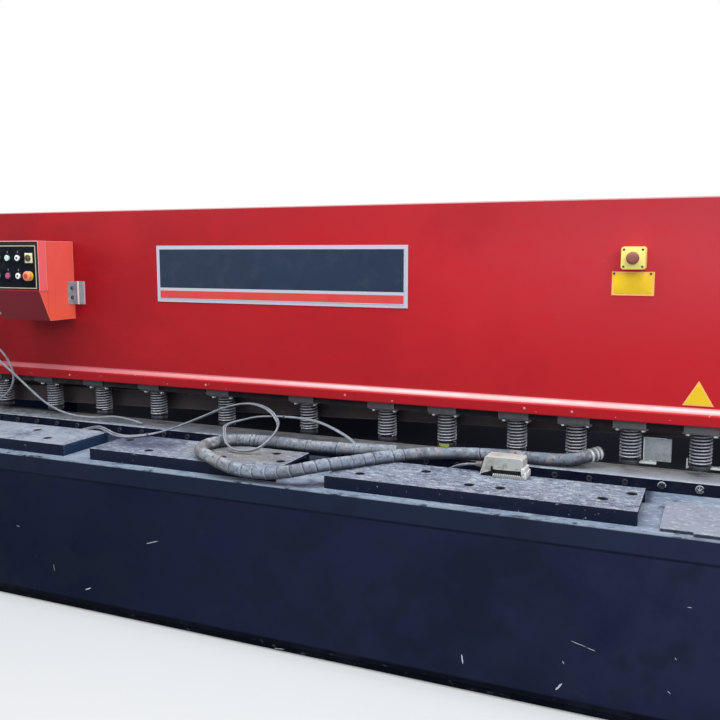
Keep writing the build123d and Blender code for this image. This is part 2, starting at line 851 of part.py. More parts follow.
# Back gauge: rails on the side frames, and the sliding gauge beam with its fingers
with BuildPart() as back_gauge_rails:
    rail_inner_x = half_length - rail_width
    for x_range in ((rail_inner_x, half_length), (-half_length, -rail_inner_x)):
        block(x_range, (rail_front_y, rear_end_y), (rail_bottom_z, rail_top_z))
        block(
            x_range,
            (rear_end_y - rail_stop_length, rear_end_y),
            (rail_top_z, rail_top_z + rail_stop_height),
        )
back_gauge_rails.part.label = "back_gauge_rails"
export_step(back_gauge_rails.part, "parts/back_gauge_rails.step")

with BuildPart() as back_gauge_beam:
    gauge_rear_y = gauge_front_y + gauge_depth
    gauge_top_z = gauge_bottom_z + gauge_height
    shoe_outer_x = rail_inner_x - sliding_gap
    shoe_inner_x = shoe_outer_x - shoe_plate
    shoe_centre_y = gauge_front_y + gauge_depth / 2
    shoe_range_y = (shoe_centre_y - shoe_length / 2, shoe_centre_y + shoe_length / 2)
    shoe_bottom_z = rail_top_z + sliding_gap
    shoe_top_z = shoe_bottom_z + shoe_height
    block((-shoe_inner_x, shoe_inner_x), (gauge_front_y, gauge_rear_y), (gauge_bottom_z, gauge_top_z))
    for side in (-1, 1):
        plate_x = sorted((side * shoe_inner_x, side * shoe_outer_x))
        shoe_x = sorted((side * shoe_outer_x, side * (half_length - sliding_gap)))
        block(plate_x, shoe_range_y, (gauge_bottom_z, shoe_top_z))
        block(shoe_x, shoe_range_y, (shoe_bottom_z, shoe_top_z))
    for finger in range(finger_count):
        finger_x = (finger - (finger_count - 1) / 2) * finger_pitch
        block(
            (finger_x - finger_width / 2, finger_x + finger_width / 2),
            (gauge_front_y - finger_reach, gauge_front_y),
            (gauge_bottom_z, gauge_top_z),
        )
back_gauge_beam.part.label = "back_gauge_beam"
export_step(back_gauge_beam.part, "parts/back_gauge_beam.step")

# Nameplate with its raised field, and the two marker plates
with BuildPart() as nameplate:
    with BuildSketch(Plane.XZ.offset(-plate_face_y)):
        with Locations((nameplate_x, nameplate_z)):
            Rectangle(nameplate_width, nameplate_height)
    extrude(amount=nameplate_thickness)
    with BuildSketch(Plane.XZ.offset(nameplate_thickness - plate_face_y)):
        with Locations((nameplate_x, nameplate_z)):
            Rectangle(
                nameplate_width - 2 * nameplate_border,
                nameplate_height - 2 * nameplate_border,
            )
    extrude(amount=field_thickness)
nameplate.part.label = "nameplate"
export_step(nameplate.part, "parts/nameplate.step")

with BuildPart() as marker_plates:
    with BuildSketch(Plane.XZ.offset(-plate_face_y)):
        with Locations((info_x, info_z)):
            Rectangle(info_width, info_height)
        with BuildLine():
            Polyline(
                (triangle_x - triangle_width / 2, triangle_bottom_z),
                (triangle_x + triangle_width / 2, triangle_bottom_z),
                (triangle_x, triangle_bottom_z + triangle_height),
                close=True,
            )
        make_face()
    extrude(amount=marker_thickness)
marker_plates.part.label = "marker_plates"
export_step(marker_plates.part, "parts/marker_plates.step")

# Control box: body with a slightly proud front cover
with BuildPart() as control_box:
    box_left_x = box_right_x - box_width
    with BuildSketch(Plane.YZ.offset(box_left_x)):
        with BuildLine():
            Polyline(
                (plate_face_y, box_top_z),
                (box_front_y, box_top_z),
                (box_front_y, box_fold_z),
                (box_bottom_front_y, box_bottom_z),
                (plate_face_y, box_bottom_z),
                close=True,
            )
        make_face()
    extrude(amount=box_width)
    cover_fold_y = box_front_y + cover_depth
    block(
        (box_left_x - cover_proud, box_right_x + cover_proud),
        (box_front_y, cover_fold_y),
        (box_fold_z, box_top_z + cover_proud),
    )
    button_columns = [button_column_x - column * button_pitch for column in range(4)]
    control_places = [(x, z) for z in (button_row_top_z, button_row_bottom_z) for x in button_columns]
    key_place = control_places[0]
    stem_hole_radius = stem_radius + sliding_gap
    with BuildSketch(Plane.XZ.offset(-box_front_y)):
        with Locations(*control_places):
            RegularPolygon(stem_hole_radius, stem_sides)
    extrude(amount=-stem_depth - press_gap, mode=Mode.SUBTRACT)
    with BuildSketch(Plane.YZ.offset(box_left_x)):
        with Locations(*[(gland_y, box_bottom_z + rise) for rise in gland_rises]):
            RegularPolygon(gland_radius, 6)
    extrude(amount=-gland_length)
control_box.part.label = "control_box"
export_step(control_box.part, "parts/control_box.step")

# Black panel with a round bezel at each button and square ones at the key and the stop
stop_place = control_places[len(button_columns)]
push_places = [place for place in control_places if place not in (key_place, stop_place)]
with BuildPart() as control_panel:
    block(
        (box_left_x + panel_margin, box_right_x - panel_margin),
        (button_face_y, box_front_y),
        (panel_bottom_z, panel_top_z),
    )
    with BuildSketch(Plane.XZ.offset(-button_face_y)):
        with Locations(*push_places):
            RegularPolygon(bezel_radius, round_sides)
        with Locations(key_place, stop_place):
            Rectangle(key_bezel, key_bezel)
    extrude(amount=bezel_height)
    with BuildSketch(Plane.XZ.offset(-box_front_y)):
        with Locations(*push_places, key_place, stop_place):
            RegularPolygon(stem_hole_radius, stem_sides)
    extrude(amount=panel_thickness + bezel_height, mode=Mode.SUBTRACT)
control_panel.part.label = "control_panel"
export_step(control_panel.part, "parts/control_panel.step")

# Push buttons: a cap before the bezel on a stem that runs into the box
bezel_face_y = button_face_y - bezel_height
for index, (button_x, button_z) in enumerate(push_places, 1):
    with BuildPart() as push_button:
        with BuildSketch(Plane.XZ.offset(-bezel_face_y + press_gap)):
            with Locations((button_x, button_z)):
                RegularPolygon(cap_radius, round_sides)
        extrude(amount=cap_height)
        with BuildSketch(Plane.XZ.offset(-bezel_face_y + press_gap)):
            with Locations((button_x, button_z)):
                RegularPolygon(stem_radius, stem_sides)
        extrude(amount=-stem_depth)
    push_button.part.label = f"push_button_{index}"
    export_step(push_button.part, f"parts/push_button_{index}.step")

with BuildPart() as key_switch:
    with BuildSketch(Plane.XZ.offset(-bezel_face_y + sliding_gap)):
        with Locations(key_place):
            RegularPolygon(knob_radius, round_sides)
    extrude(amount=knob_height)
    with BuildSketch(Plane.XZ.offset(-bezel_face_y + sliding_gap + knob_height)):
        with Locations(key_place):
            Rectangle(lever_width, lever_length)
    extrude(amount=lever_height)
    with BuildSketch(Plane.XZ.offset(-bezel_face_y + sliding_gap)):
        with Locations(key_place):
            RegularPolygon(key_stem_radius, stem_sides)
    extrude(amount=-stem_depth)
key_switch.part.label = "key_switch"
export_step(key_switch.part, "parts/key_switch.step")

# Box of the wall stop button, with a collar at its stem
with BuildPart() as stop_box:
    with BuildSketch(Plane.XZ.offset(-plate_face_y)) as stop_outline:
        with Locations((stop_x, stop_z)):
            Rectangle(stop_width, stop_height)
        chamfer(stop_outline.vertices(), stop_corner)
    extrude(amount=stop_depth)
    stop_front_y = plate_face_y - stop_depth
    with BuildSketch(Plane.XZ.offset(-stop_front_y)):
        with Locations((stop_x, stop_z)):
            RegularPolygon(bezel_radius, round_sides)
    extrude(amount=bezel_height)
    with BuildSketch(Plane.XZ.offset(bezel_height - stop_front_y)):
        with Locations((stop_x, stop_z)):
            RegularPolygon(stem_hole_radius, stem_sides)
    extrude(amount=-bezel_height - stem_depth, mode=Mode.SUBTRACT)
stop_box.part.label = "stop_box"
export_step(stop_box.part, "parts/stop_box.step")

# Mushroom buttons of the wall stop and of the panel stop
collar_face_y = stop_front_y - bezel_height
for label, (head_x, head_z), seat_y in (
    ("wall_stop_button", (stop_x, stop_z), collar_face_y),
    ("panel_stop_button", stop_place, bezel_face_y),
):
    with BuildPart() as stop_button:
        with BuildSketch(Plane.XZ.offset(-seat_y + mushroom_gap)):
            with Locations((head_x, head_z)):
                RegularPolygon(mushroom_radius, round_sides)
        extrude(amount=mushroom_height)
        chamfer(stop_button.faces().sort_by(Axis.Y)[0].edges(), mushroom_height / 3)
        with BuildSketch(Plane.XZ.offset(-seat_y + mushroom_gap)):
            with Locations((head_x, head_z)):
                RegularPolygon(stem_radius, stem_sides)
        extrude(amount=-stem_depth)
    stop_button.part.label = label
    export_step(stop_button.part, f"parts/{label}.step")

# Angle bracket at the right side of the control box, with a rib and two screws
with BuildPart() as angle_bracket:
    angle_inner_x = box_right_x
    angle_z = (angle_bottom_z, angle_top_z)
    plate_leg_y = (plate_face_y - angle_thickness, plate_face_y)
    side_leg_y = (plate_face_y - angle_leg, plate_face_y)
    rib_x_range = (box_right_x + angle_leg - angle_rib, box_right_x + angle_leg)
    block((angle_inner_x, angle_inner_x + angle_thickness), side_leg_y, angle_z)
    block((angle_inner_x, box_right_x + angle_reach), plate_leg_y, angle_z)
    block(rib_x_range, (plate_face_y - angle_thickness - angle_rib, plate_face_y), angle_z)
    with BuildSketch(Plane.YZ.offset(angle_inner_x + angle_thickness)):
        with Locations((plate_face_y - angle_leg / 2, (angle_bottom_z + angle_top_z) / 2)):
            with GridLocations(1, angle_leg, 1, 2):
                RegularPolygon(angle_screw_radius, 6)
    extrude(amount=angle_thickness)
angle_bracket.part.label = "angle_bracket"
export_step(angle_bracket.part, "parts/angle_bracket.step")

# Loose connector on the table: hood with chamfered shoulders and its contact block
with BuildPart() as connector:
    hood_x_range = (hood_x - hood_width / 2, hood_x + hood_width / 2)
    hood_y_range = (hood_y - hood_depth / 2, hood_y + hood_depth / 2)
    block(hood_x_range, hood_y_range, (table_height, table_height + hood_height))
    chamfer(connector.edges().filter_by(Axis.Y).group_by(Axis.Z)[-1], hood_chamfer)
    block(
        (hood_x_range[1] - contact_width, hood_x_range[1]),
        (hood_y_range[0] - contact_depth, hood_y_range[0]),
        (table_height, table_height + contact_height),
    )
connector.part.label = "connector"
export_step(connector.part, "parts/connector.step")

# Wrapped hose and thin cables
cord(hose_route, hose_radius, pipe_sides, "hose")
cord(cable_a_route, cable_radius, cable_sides, "cable_a")
cord(cable_b_route, cable_radius, cable_sides, "cable_b")
cord(cable_c_route, thick_cable_radius, cable_sides, "cable_c")
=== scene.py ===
import math

import bmesh
import bpy
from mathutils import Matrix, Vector, noise


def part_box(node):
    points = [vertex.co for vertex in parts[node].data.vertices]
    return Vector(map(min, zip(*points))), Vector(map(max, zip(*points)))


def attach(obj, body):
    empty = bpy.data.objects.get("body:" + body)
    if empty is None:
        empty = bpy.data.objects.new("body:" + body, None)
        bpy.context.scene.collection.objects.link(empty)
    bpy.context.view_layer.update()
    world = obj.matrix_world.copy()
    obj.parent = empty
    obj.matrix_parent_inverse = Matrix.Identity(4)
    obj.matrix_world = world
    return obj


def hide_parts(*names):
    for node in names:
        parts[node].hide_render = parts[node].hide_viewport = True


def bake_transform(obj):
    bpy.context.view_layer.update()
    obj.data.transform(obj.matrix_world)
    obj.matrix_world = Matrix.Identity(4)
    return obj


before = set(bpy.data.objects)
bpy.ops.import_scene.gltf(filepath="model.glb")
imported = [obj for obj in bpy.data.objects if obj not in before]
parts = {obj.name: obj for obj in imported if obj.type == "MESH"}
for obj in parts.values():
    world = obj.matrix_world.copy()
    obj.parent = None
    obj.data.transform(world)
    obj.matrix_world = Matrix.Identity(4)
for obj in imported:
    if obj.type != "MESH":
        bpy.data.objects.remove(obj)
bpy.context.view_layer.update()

# Places shared with the machine, in metres
hold_down_x = (-1.688, -1.348, -1.032, -0.698, -0.312, 0.119, 0.496, 0.765, 1.060, 1.294, 1.499, 1.750)
hold_down_y = -0.312
to_front = (0, -1, 0)
to_top = (0, 0, 1)
lip_face_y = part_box("front_plate")[0].y
tie_top_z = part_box("rear_tie_beam")[1].z
tie_centre_y = 0.25

# Control points of the hose and cables, which keep within 35 mm of those of the solids
hose_rest_z = 0.7245
hose_route = [
    (1.390, -0.330, 0.756), (1.350, -0.370, 0.7475), (1.298, -0.387, 0.732), (1.226, -0.389, hose_rest_z),
    (1.130, -0.388, hose_rest_z), (1.030, -0.395, hose_rest_z), (0.928, -0.413, hose_rest_z),
    (0.834, -0.440, hose_rest_z), (0.748, -0.478, hose_rest_z), (0.676, -0.528, hose_rest_z),
    (0.612, -0.592, hose_rest_z), (0.556, -0.664, hose_rest_z), (0.504, -0.742, hose_rest_z),
    (0.452, -0.816, 0.728), (0.392, -0.872, 0.721), (0.318, -0.897, 0.704), (0.238, -0.899, 0.692),
    (0.155, -0.898, 0.688), (0.078, -0.898, 0.695), (0.010, -0.898, 0.716), (-0.056, -0.880, 0.732),
    (-0.116, -0.826, 0.729), (-0.156, -0.756, hose_rest_z), (-0.168, -0.678, hose_rest_z),
    (-0.136, -0.608, hose_rest_z), (-0.078, -0.568, hose_rest_z), (-0.010, -0.552, hose_rest_z),
    (0.074, -0.548, 0.725), (0.160, -0.545, 0.722), (0.254, -0.536, 0.720), (0.344, -0.520, 0.718),
    (0.430, -0.500, 0.716), (0.512, -0.474, 0.716), (0.590, -0.450, 0.712),
]
cable_a_route = [
    (-1.432, -0.500, 1.262), (-1.545, -0.500, 1.262), (-1.650, -0.492, 1.225),
    (-1.690, -0.480, 1.145), (-1.618, -0.462, 1.078), (-1.527, -0.448, 1.004),
    (-1.485, -0.440, 0.900), (-1.544, -0.434, 0.805), (-1.680, -0.424, 0.745),
    (-1.800, -0.412, 0.716),
]
cable_b_route = [
    (-1.432, -0.500, 1.228), (-1.560, -0.500, 1.228), (-1.670, -0.510, 1.180),
    (-1.698, -0.506, 1.102), (-1.626, -0.496, 1.042), (-1.518, -0.476, 0.964),
    (-1.410, -0.452, 0.866), (-1.304, -0.432, 0.774), (-1.180, -0.415, 0.722),
    (-1.020, -0.402, 0.714), (-0.870, -0.394, 0.738), (-0.740, -0.392, 0.708),
]
cable_c_route = [
    (-1.180, -0.512, 0.660), (-1.060, -0.506, 0.661), (-0.945, -0.494, 0.694), (-0.815, -0.590, 0.722),
    (-0.645, -0.680, 0.709), (-0.552, -0.588, 0.708), (-0.520, -0.460, 0.714), (-0.400, -0.402, 0.765),
    (-0.265, -0.397, 0.826), (-0.140, -0.396, 0.857), (-0.038, -0.398, 0.835), (0.022, -0.422, 0.788),
    (0.088, -0.545, 0.784), (0.108, -0.640, 0.760), (0.066, -0.692, 0.717), (-0.022, -0.704, 0.709),
    (-0.088, -0.684, 0.733), (-0.130, -0.620, 0.778), (-0.172, -0.556, 0.770), (-0.202, -0.500, 0.762),
    (-0.212, -0.448, 0.765), (-0.176, -0.402, 0.773), (-0.090, -0.396, 0.797), (0.060, -0.395, 0.806),
    (0.200, -0.396, 0.799), (0.310, -0.400, 0.760), (0.395, -0.414, 0.718), (0.455, -0.470, 0.672),
    (0.560, -0.512, 0.660), (0.690, -0.512, 0.660), (0.820, -0.506, 0.664), (0.920, -0.590, 0.730),
    (0.991, -0.590, 0.730),
]
hose_radius = 0.026
cable_radius = 0.0055


# Procedural finishes
class Finish:
    """A material whose colour is built in layers over one shader."""

    def __init__(self, name, colour, roughness=0.5, metallic=0.0, gloss_level=0.5):
        self.name = name
        self.material = bpy.data.materials.new(name)
        self.material.use_nodes = True
        self.nodes = self.material.node_tree.nodes
        self.links = self.material.node_tree.links
        self.shader = self.nodes["Principled BSDF"]
        self.shader.inputs["Roughness"].default_value = roughness
        self.shader.inputs["Metallic"].default_value = metallic
        self.shader.inputs["Specular IOR Level"].default_value = gloss_level
        self.shader.inputs["Base Color"].default_value = (*colour, 1)
        self.place = self.nodes.new("ShaderNodeTexCoord").outputs["Object"]
        self.colour = tuple(colour)
        self.rounded = None

    def put(self, value, socket):
        """Link a socket, or set a plain number or colour."""
        if isinstance(value, (int, float)):
            socket.default_value = value
        elif isinstance(value, tuple):
            socket.default_value = (*value, 1)
        else:
            self.links.new(value, socket)

    def math(self, operation, first, second=0.0):
        node = self.nodes.new("ShaderNodeMath")
        node.operation = operation
        self.put(first, node.inputs[0])
        self.put(second, node.inputs[1])
        return node.outputs[0]

    def both(self, *masks):
        result = masks[0]
        for mask in masks[1:]:
            result = self.math("MULTIPLY", result, mask)
        return result

    def span(self, value, low, high, soft=True):
        """0 at low, 1 at high, clamped between them; low may be above high."""
        node = self.nodes.new("ShaderNodeMapRange")
        node.interpolation_type = "SMOOTHSTEP" if soft else "LINEAR"
        self.put(value, node.inputs["Value"])
        turned = low > high
        node.inputs["From Min"].default_value = min(low, high)
        node.inputs["From Max"].default_value = max(low, high)
        node.inputs["To Min"].default_value = 1.0 if turned else 0.0
        node.inputs["To Max"].default_value = 0.0 if turned else 1.0
        return node.outputs[0]

    def axis(self, letter):
        node = self.nodes.new("ShaderNodeSeparateXYZ")
        self.links.new(self.place, node.inputs[0])
        return node.outputs[letter]

    def facing(self, letter):
        """How far the surface faces along one axis."""
        node = self.nodes.new("ShaderNodeSeparateXYZ")
        self.links.new(self.nodes.new("ShaderNodeNewGeometry").outputs["True Normal"], node.inputs[0])
        return node.outputs[letter]

    def along(self, letter, low, high, soft=True):
        """A span over the places along one axis."""
        return self.span(self.axis(letter), low, high, soft)

    def turned(self, letter, low, high):
        """A span over how far the surface faces along one axis."""
        return self.span(self.facing(letter), low, high)

    def band(self, letter, low, high, soft=0.002):
        """1 between two places along an axis, 0 outside them."""
        value = self.axis(letter)
        rise = self.span(value, low - soft, low + soft)
        fall = self.span(value, high + soft, high - soft)
        return self.both(rise, fall)

    def spot(self, middle, reach, soft=0.5):
        """1 near a point, falling to 0 at a reach along each axis."""
        mapping = self.nodes.new("ShaderNodeMapping")
        mapping.inputs["Location"].default_value = [-m / r for m, r in zip(middle, reach)]
        mapping.inputs["Scale"].default_value = [1 / r for r in reach]
        self.links.new(self.place, mapping.inputs["Vector"])
        length = self.nodes.new("ShaderNodeVectorMath")
        length.operation = "LENGTH"
        self.links.new(mapping.outputs[0], length.inputs[0])
        return self.span(length.outputs["Value"], 1.0, 1.0 - soft)

    def noise(self, scale, low=0.4, high=0.6, detail=5.0, stretch=(1, 1, 1), shift=0.0):
        """Soft patches, from 0 to 1, whose edges lie between two levels."""
        mapping = self.nodes.new("ShaderNodeMapping")
        mapping.inputs["Scale"].default_value = stretch
        mapping.inputs["Location"].default_value = (shift, shift, shift)
        self.links.new(self.place, mapping.inputs["Vector"])
        node = self.nodes.new("ShaderNodeTexNoise")
        node.inputs["Scale"].default_value = scale
        node.inputs["Detail"].default_value = detail
        node.inputs["Roughness"].default_value = 0.62
        self.links.new(mapping.outputs[0], node.inputs["Vector"])
        return self.span(node.outputs[0], low, high)

    def attribute(self, name):
        node = self.nodes.new("ShaderNodeAttribute")
        node.attribute_name = name
        return node.outputs["Fac"]

    def edge(self, radius=0.004, low=0.985, high=0.88):
        """1 along the sharp edges of the piece, fading out at a radius from them."""
        bevel = self.nodes.new("ShaderNodeBevel")
        bevel.samples = 4
        bevel.inputs["Radius"].default_value = radius
        compare = self.nodes.new("ShaderNodeVectorMath")
        compare.operation = "DOT_PRODUCT"
        self.links.new(bevel.outputs[0], compare.inputs[0])
        self.links.new(self.nodes.new("ShaderNodeNewGeometry").outputs["True Normal"], compare.inputs[1])
        return self.span(compare.outputs["Value"], low, high)

    def soften(self, radius):
        """Let the light catch the edges as if they were rounded."""
        bevel = self.nodes.new("ShaderNodeBevel")
        bevel.samples = 4
        bevel.inputs["Radius"].default_value = radius
        self.rounded = bevel.outputs[0]
        self.links.new(self.rounded, self.shader.inputs["Normal"])
        return self

    def layer(self, colour, mask, strength=1.0):
        """Lay a colour over what is there, as far as the mask goes."""
        node = self.nodes.new("ShaderNodeMix")
        node.data_type = "RGBA"
        factor = mask if strength == 1.0 else self.math("MULTIPLY", mask, strength)
        self.put(factor, node.inputs["Factor"])
        self.put(self.colour, node.inputs["A"])
        self.put(tuple(colour), node.inputs["B"])
        self.colour = node.outputs["Result"]
        self.links.new(self.colour, self.shader.inputs["Base Color"])
        return self

    def mottle(self, colour, strength, *patches, **more):
        """Lay soft patches of a colour over what is there."""
        return self.layer(colour, self.noise(*patches, **more), strength)

    def gloss(self, mask, low, high):
        """Roughness from low to high over a mask."""
        node = self.nodes.new("ShaderNodeMapRange")
        self.links.new(mask, node.inputs["Value"])
        node.inputs["To Min"].default_value = low
        node.inputs["To Max"].default_value = high
        self.links.new(node.outputs[0], self.shader.inputs["Roughness"])
        return self

    def bump(self, mask, height, strength=1.0):
        node = self.nodes.new("ShaderNodeBump")
        node.inputs["Distance"].default_value = height
        node.inputs["Strength"].default_value = strength
        self.links.new(mask, node.inputs["Height"])
        if self.rounded:
            self.links.new(self.rounded, node.inputs["Normal"])
        self.links.new(node.outputs[0], self.shader.inputs["Normal"])
        return self


def red_paint():
    finish = Finish("red_paint", (0.45, 0.0155, 0.022), 0.38, gloss_level=0.09)
    # Painted light and shade: the plate is drawn darker to the left, paler to the right and in its upper
    # part, and darker near the top and at the top left, as the lamps fell on it
    left = finish.along("X", 0.7, -2.1)
    right = finish.along("X", 0.1, 2.1)
    high = finish.along("Z", 1.0, 1.72)
    finish.layer((0.195, 0.0055, 0.0095), left)
    finish.layer((0.47, 0.052, 0.068), finish.both(right, high), 0.9)
    finish.layer((0.33, 0.020, 0.028), finish.along("Z", 1.45, 1.75), 0.45)
    finish.layer((0.24, 0.010, 0.016), finish.both(
        finish.along("Z", 1.35, 1.65), finish.along("X", -0.4, -1.5)), 0.5)
    finish.mottle((0.56, 0.020, 0.028), 0.34, 1.1, 0.45, 0.75, stretch=(1, 1, 1.6))
    finish.mottle((0.31, 0.009, 0.016), 0.38, 1.6, 0.46, 0.68, shift=4.0)
    finish.mottle((0.50, 0.012, 0.020), 0.22, 4.5, 0.52, 0.68, stretch=(1, 1, 2.2), shift=9.0)
    finish.mottle((0.60, 0.10, 0.12), 0.3, 160, 0.70, 0.78)
    finish.mottle((0.62, 0.14, 0.15), 0.25, 30, 0.69, 0.75, detail=3, stretch=(1, 1, 4), shift=2.0)
    # Painted highlight: the upward-facing bend above the lip is drawn as a pink and white reflection of the
    # lights
    joggle_shine = finish.noise(5, 0.25, 0.6, stretch=(1, 0.1, 0.1))
    along = finish.along("X", -1.2, 1.1)
    finish.layer((0.50, 0.130, 0.150), finish.band("Z", 0.9475, 0.9690, 0.0015))
    finish.layer((0.84, 0.37, 0.38), finish.both(finish.band("Z", 0.9495, 0.9675, 0.0025), along), 0.95)
    finish.layer((0.93, 0.62, 0.60), finish.both(
        finish.band("Z", 0.9540, 0.9635, 0.002), joggle_shine, along), 0.7)
    # Painted highlight along the top edge of the plate
    finish.layer((0.66, 0.42, 0.44), finish.band("Z", 1.7175, 1.73, 0.001), 0.8)
    finish.layer((0.36, 0.009, 0.016), finish.band("Z", 0.90, 0.9425, 0.001), 0.5)
    # Painted shade: the lip darkens to nearly black at its bottom edge
    finish.layer((0.10, 0.005, 0.009), finish.along("Z", 0.909, 0.9045), 0.7)
    chips = finish.both(finish.noise(55, 0.70, 0.74, detail=2), finish.band("Z", 0.905, 0.95))
    finish.layer((0.75, 0.45, 0.42), chips, 0.8)
    finish.gloss(finish.noise(2.5, 0.3, 0.7), 0.32, 0.48)
    finish.soften(0.003)
    finish.bump(finish.noise(3.0, 0.2, 0.8, detail=2), 0.0015, 0.3)
    return finish


def box_paint():
    finish = Finish("box_paint", (0.50, 0.022, 0.026), 0.34, gloss_level=0.15)
    # Painted light: faces turned along X are drawn lit, a paler orange in patches, and downward faces are
    # drawn in painted shade
    side = finish.turned("X", 0.5, 0.9)
    front = finish.turned("Y", -0.9, -0.98)
    finish.layer((0.80, 0.108, 0.082), side)
    finish.layer((0.82, 0.15, 0.13), finish.both(side, finish.noise(7, 0.45, 0.7)), 0.4)
    finish.layer((0.17, 0.009, 0.017), finish.turned("Z", -0.05, -0.25))
    # Painted highlight: a pale line down the side near the front, above the fold, with a line of painted
    # shade behind it; forward of it painted light makes the side pinker, and makes the lower side a brighter
    # orange
    above_fold = finish.along("Z", 1.345, 1.352)
    finish.layer((0.95, 0.42, 0.36), finish.both(
        side, above_fold, finish.band("Y", -0.5825, -0.5785, 0.0012)), 0.9)
    finish.layer((0.88, 0.17, 0.21), finish.both(side, above_fold, finish.along("Y", -0.582, -0.585)), 0.6)
    finish.layer((0.90, 0.13, 0.055), finish.both(side, finish.along("Z", 1.36, 1.22)), 0.6)
    finish.layer((0.30, 0.020, 0.025), finish.both(side, finish.band("Y", -0.5785, -0.5765, 0.0008)), 0.6)
    # Painted highlight along the front edge of the side
    finish.layer((0.93, 0.55, 0.60), finish.both(side, finish.along("Y", -0.6285, -0.6305)))
    finish.layer((0.010, 0.008, 0.011), finish.both(front, finish.band("Z", 1.3505, 1.5755, 0.0006)))
    # Painted highlights along the top edge of the front face and the edges of the sides
    finish.layer((0.80, 0.42, 0.42), finish.both(front, finish.along("Z", 1.5755, 1.5765)), 0.9)
    finish.layer((0.95, 0.45, 0.42), finish.both(side, finish.edge(0.005)), 0.75)
    finish.soften(0.0025)
    finish.bump(finish.noise(4.0, 0.2, 0.8, detail=2), 0.001, 0.3)
    return finish


def navy_paint(name="navy_paint"):
    """Dark blue paint, with painted light making it a little paler towards the right end."""
    finish = Finish(name, (0.0030, 0.0072, 0.0235), 0.6, gloss_level=0.035)
    # Painted light: paler towards the right end
    right = finish.along("X", -1.6, 1.9, soft=False)
    finish.layer((0.0165, 0.0225, 0.054), right, 0.9)
    finish.mottle((0.012, 0.016, 0.034), 0.45, 2.2, 0.42, 0.75)
    finish.mottle((0.0022, 0.0045, 0.014), 0.45, 1.3, 0.45, 0.7, shift=7.0)
    finish.mottle((0.0085, 0.0085, 0.036), 0.35, 3.4, 0.55, 0.7, shift=2.0)
    finish.mottle((0.022, 0.028, 0.045), 0.25, 26, 0.62, 0.74)
    finish.layer((0.16, 0.18, 0.22), finish.both(finish.edge(0.005), finish.noise(35, 0.42, 0.58)), 0.5)
    finish.gloss(finish.noise(6, 0.3, 0.7), 0.45, 0.65)
    finish.bump(finish.noise(18, 0.2, 0.8), 0.0008, 0.35)
    return finish


def wall_paint():
    finish = navy_paint("wall_paint")
    band_bottom_z = 0.583
    finish.layer((0.013, 0.019, 0.036), finish.along("Z", band_bottom_z - 0.002, band_bottom_z), 0.4)
    # Painted shadow: a dark strip just under the band, where its overhang shades the wall
    below_band = finish.band("Z", band_bottom_z - 0.010, band_bottom_z - 0.001, 0.002)
    finish.layer((0.003, 0.005, 0.013), below_band, 0.7)
    # Worn paint along the top edge of the wall
    top_wear_and_highlight = finish.both(finish.along("Z", 0.6465, 0.6495), finish.noise(30, 0.3, 0.5))
    finish.layer((0.22, 0.27, 0.34), top_wear_and_highlight, 0.9)
    # Painted shade: the recessed foot of the wall is drawn nearly black
    finish.layer((0.0012, 0.0018, 0.0045), finish.along("Z", 0.056, 0.046), 0.9)
    grit = finish.both(finish.noise(60, 0.60, 0.68, stretch=(0.4, 1, 1)), finish.along("Z", 0.05, 0.02))
    finish.layer((0.09, 0.09, 0.10), grit, 0.6)
    finish.layer((0.020, 0.014, 0.050), finish.both(
        finish.along("X", 0.9, 1.9), finish.noise(2.6, 0.45, 0.62, shift=5.0)), 0.6)
    finish.mottle((0.0080, 0.0120, 0.0230), 0.5, 5.5, 0.50, 0.64, detail=2, shift=15.0)
    return finish


def worn_steel(name="worn_steel", base=(0.165, 0.205, 0.275)):
    """Table steel: blue-grey, blotched, streaked along the machine and flecked with bright wear."""
    finish = Finish(name, base, 0.5, gloss_level=0.14)
    finish.mottle((0.065, 0.092, 0.145), 0.6, 6, 0.44, 0.66, stretch=(0.7, 1, 1))
    finish.mottle((0.27, 0.335, 0.41), 0.65, 11, 0.48, 0.68, stretch=(0.6, 1, 1), shift=3.0)
    finish.mottle((0.045, 0.058, 0.095), 0.7, 48, 0.55, 0.66, stretch=(0.5, 1, 1), shift=1.0)
    finish.mottle((0.42, 0.49, 0.55), 0.65, 60, 0.56, 0.65, stretch=(0.5, 1.6, 1), shift=5.0)
    finish.mottle((0.60, 0.66, 0.70), 0.8, 120, 0.61, 0.67, detail=2, shift=8.0)
    finish.mottle((0.025, 0.032, 0.055), 0.75, 100, 0.63, 0.69, detail=2)
    finish.gloss(finish.noise(12, 0.3, 0.7), 0.38, 0.66)
    finish.bump(finish.noise(60, 0.25, 0.8), 0.0012, 0.4)
    return finish


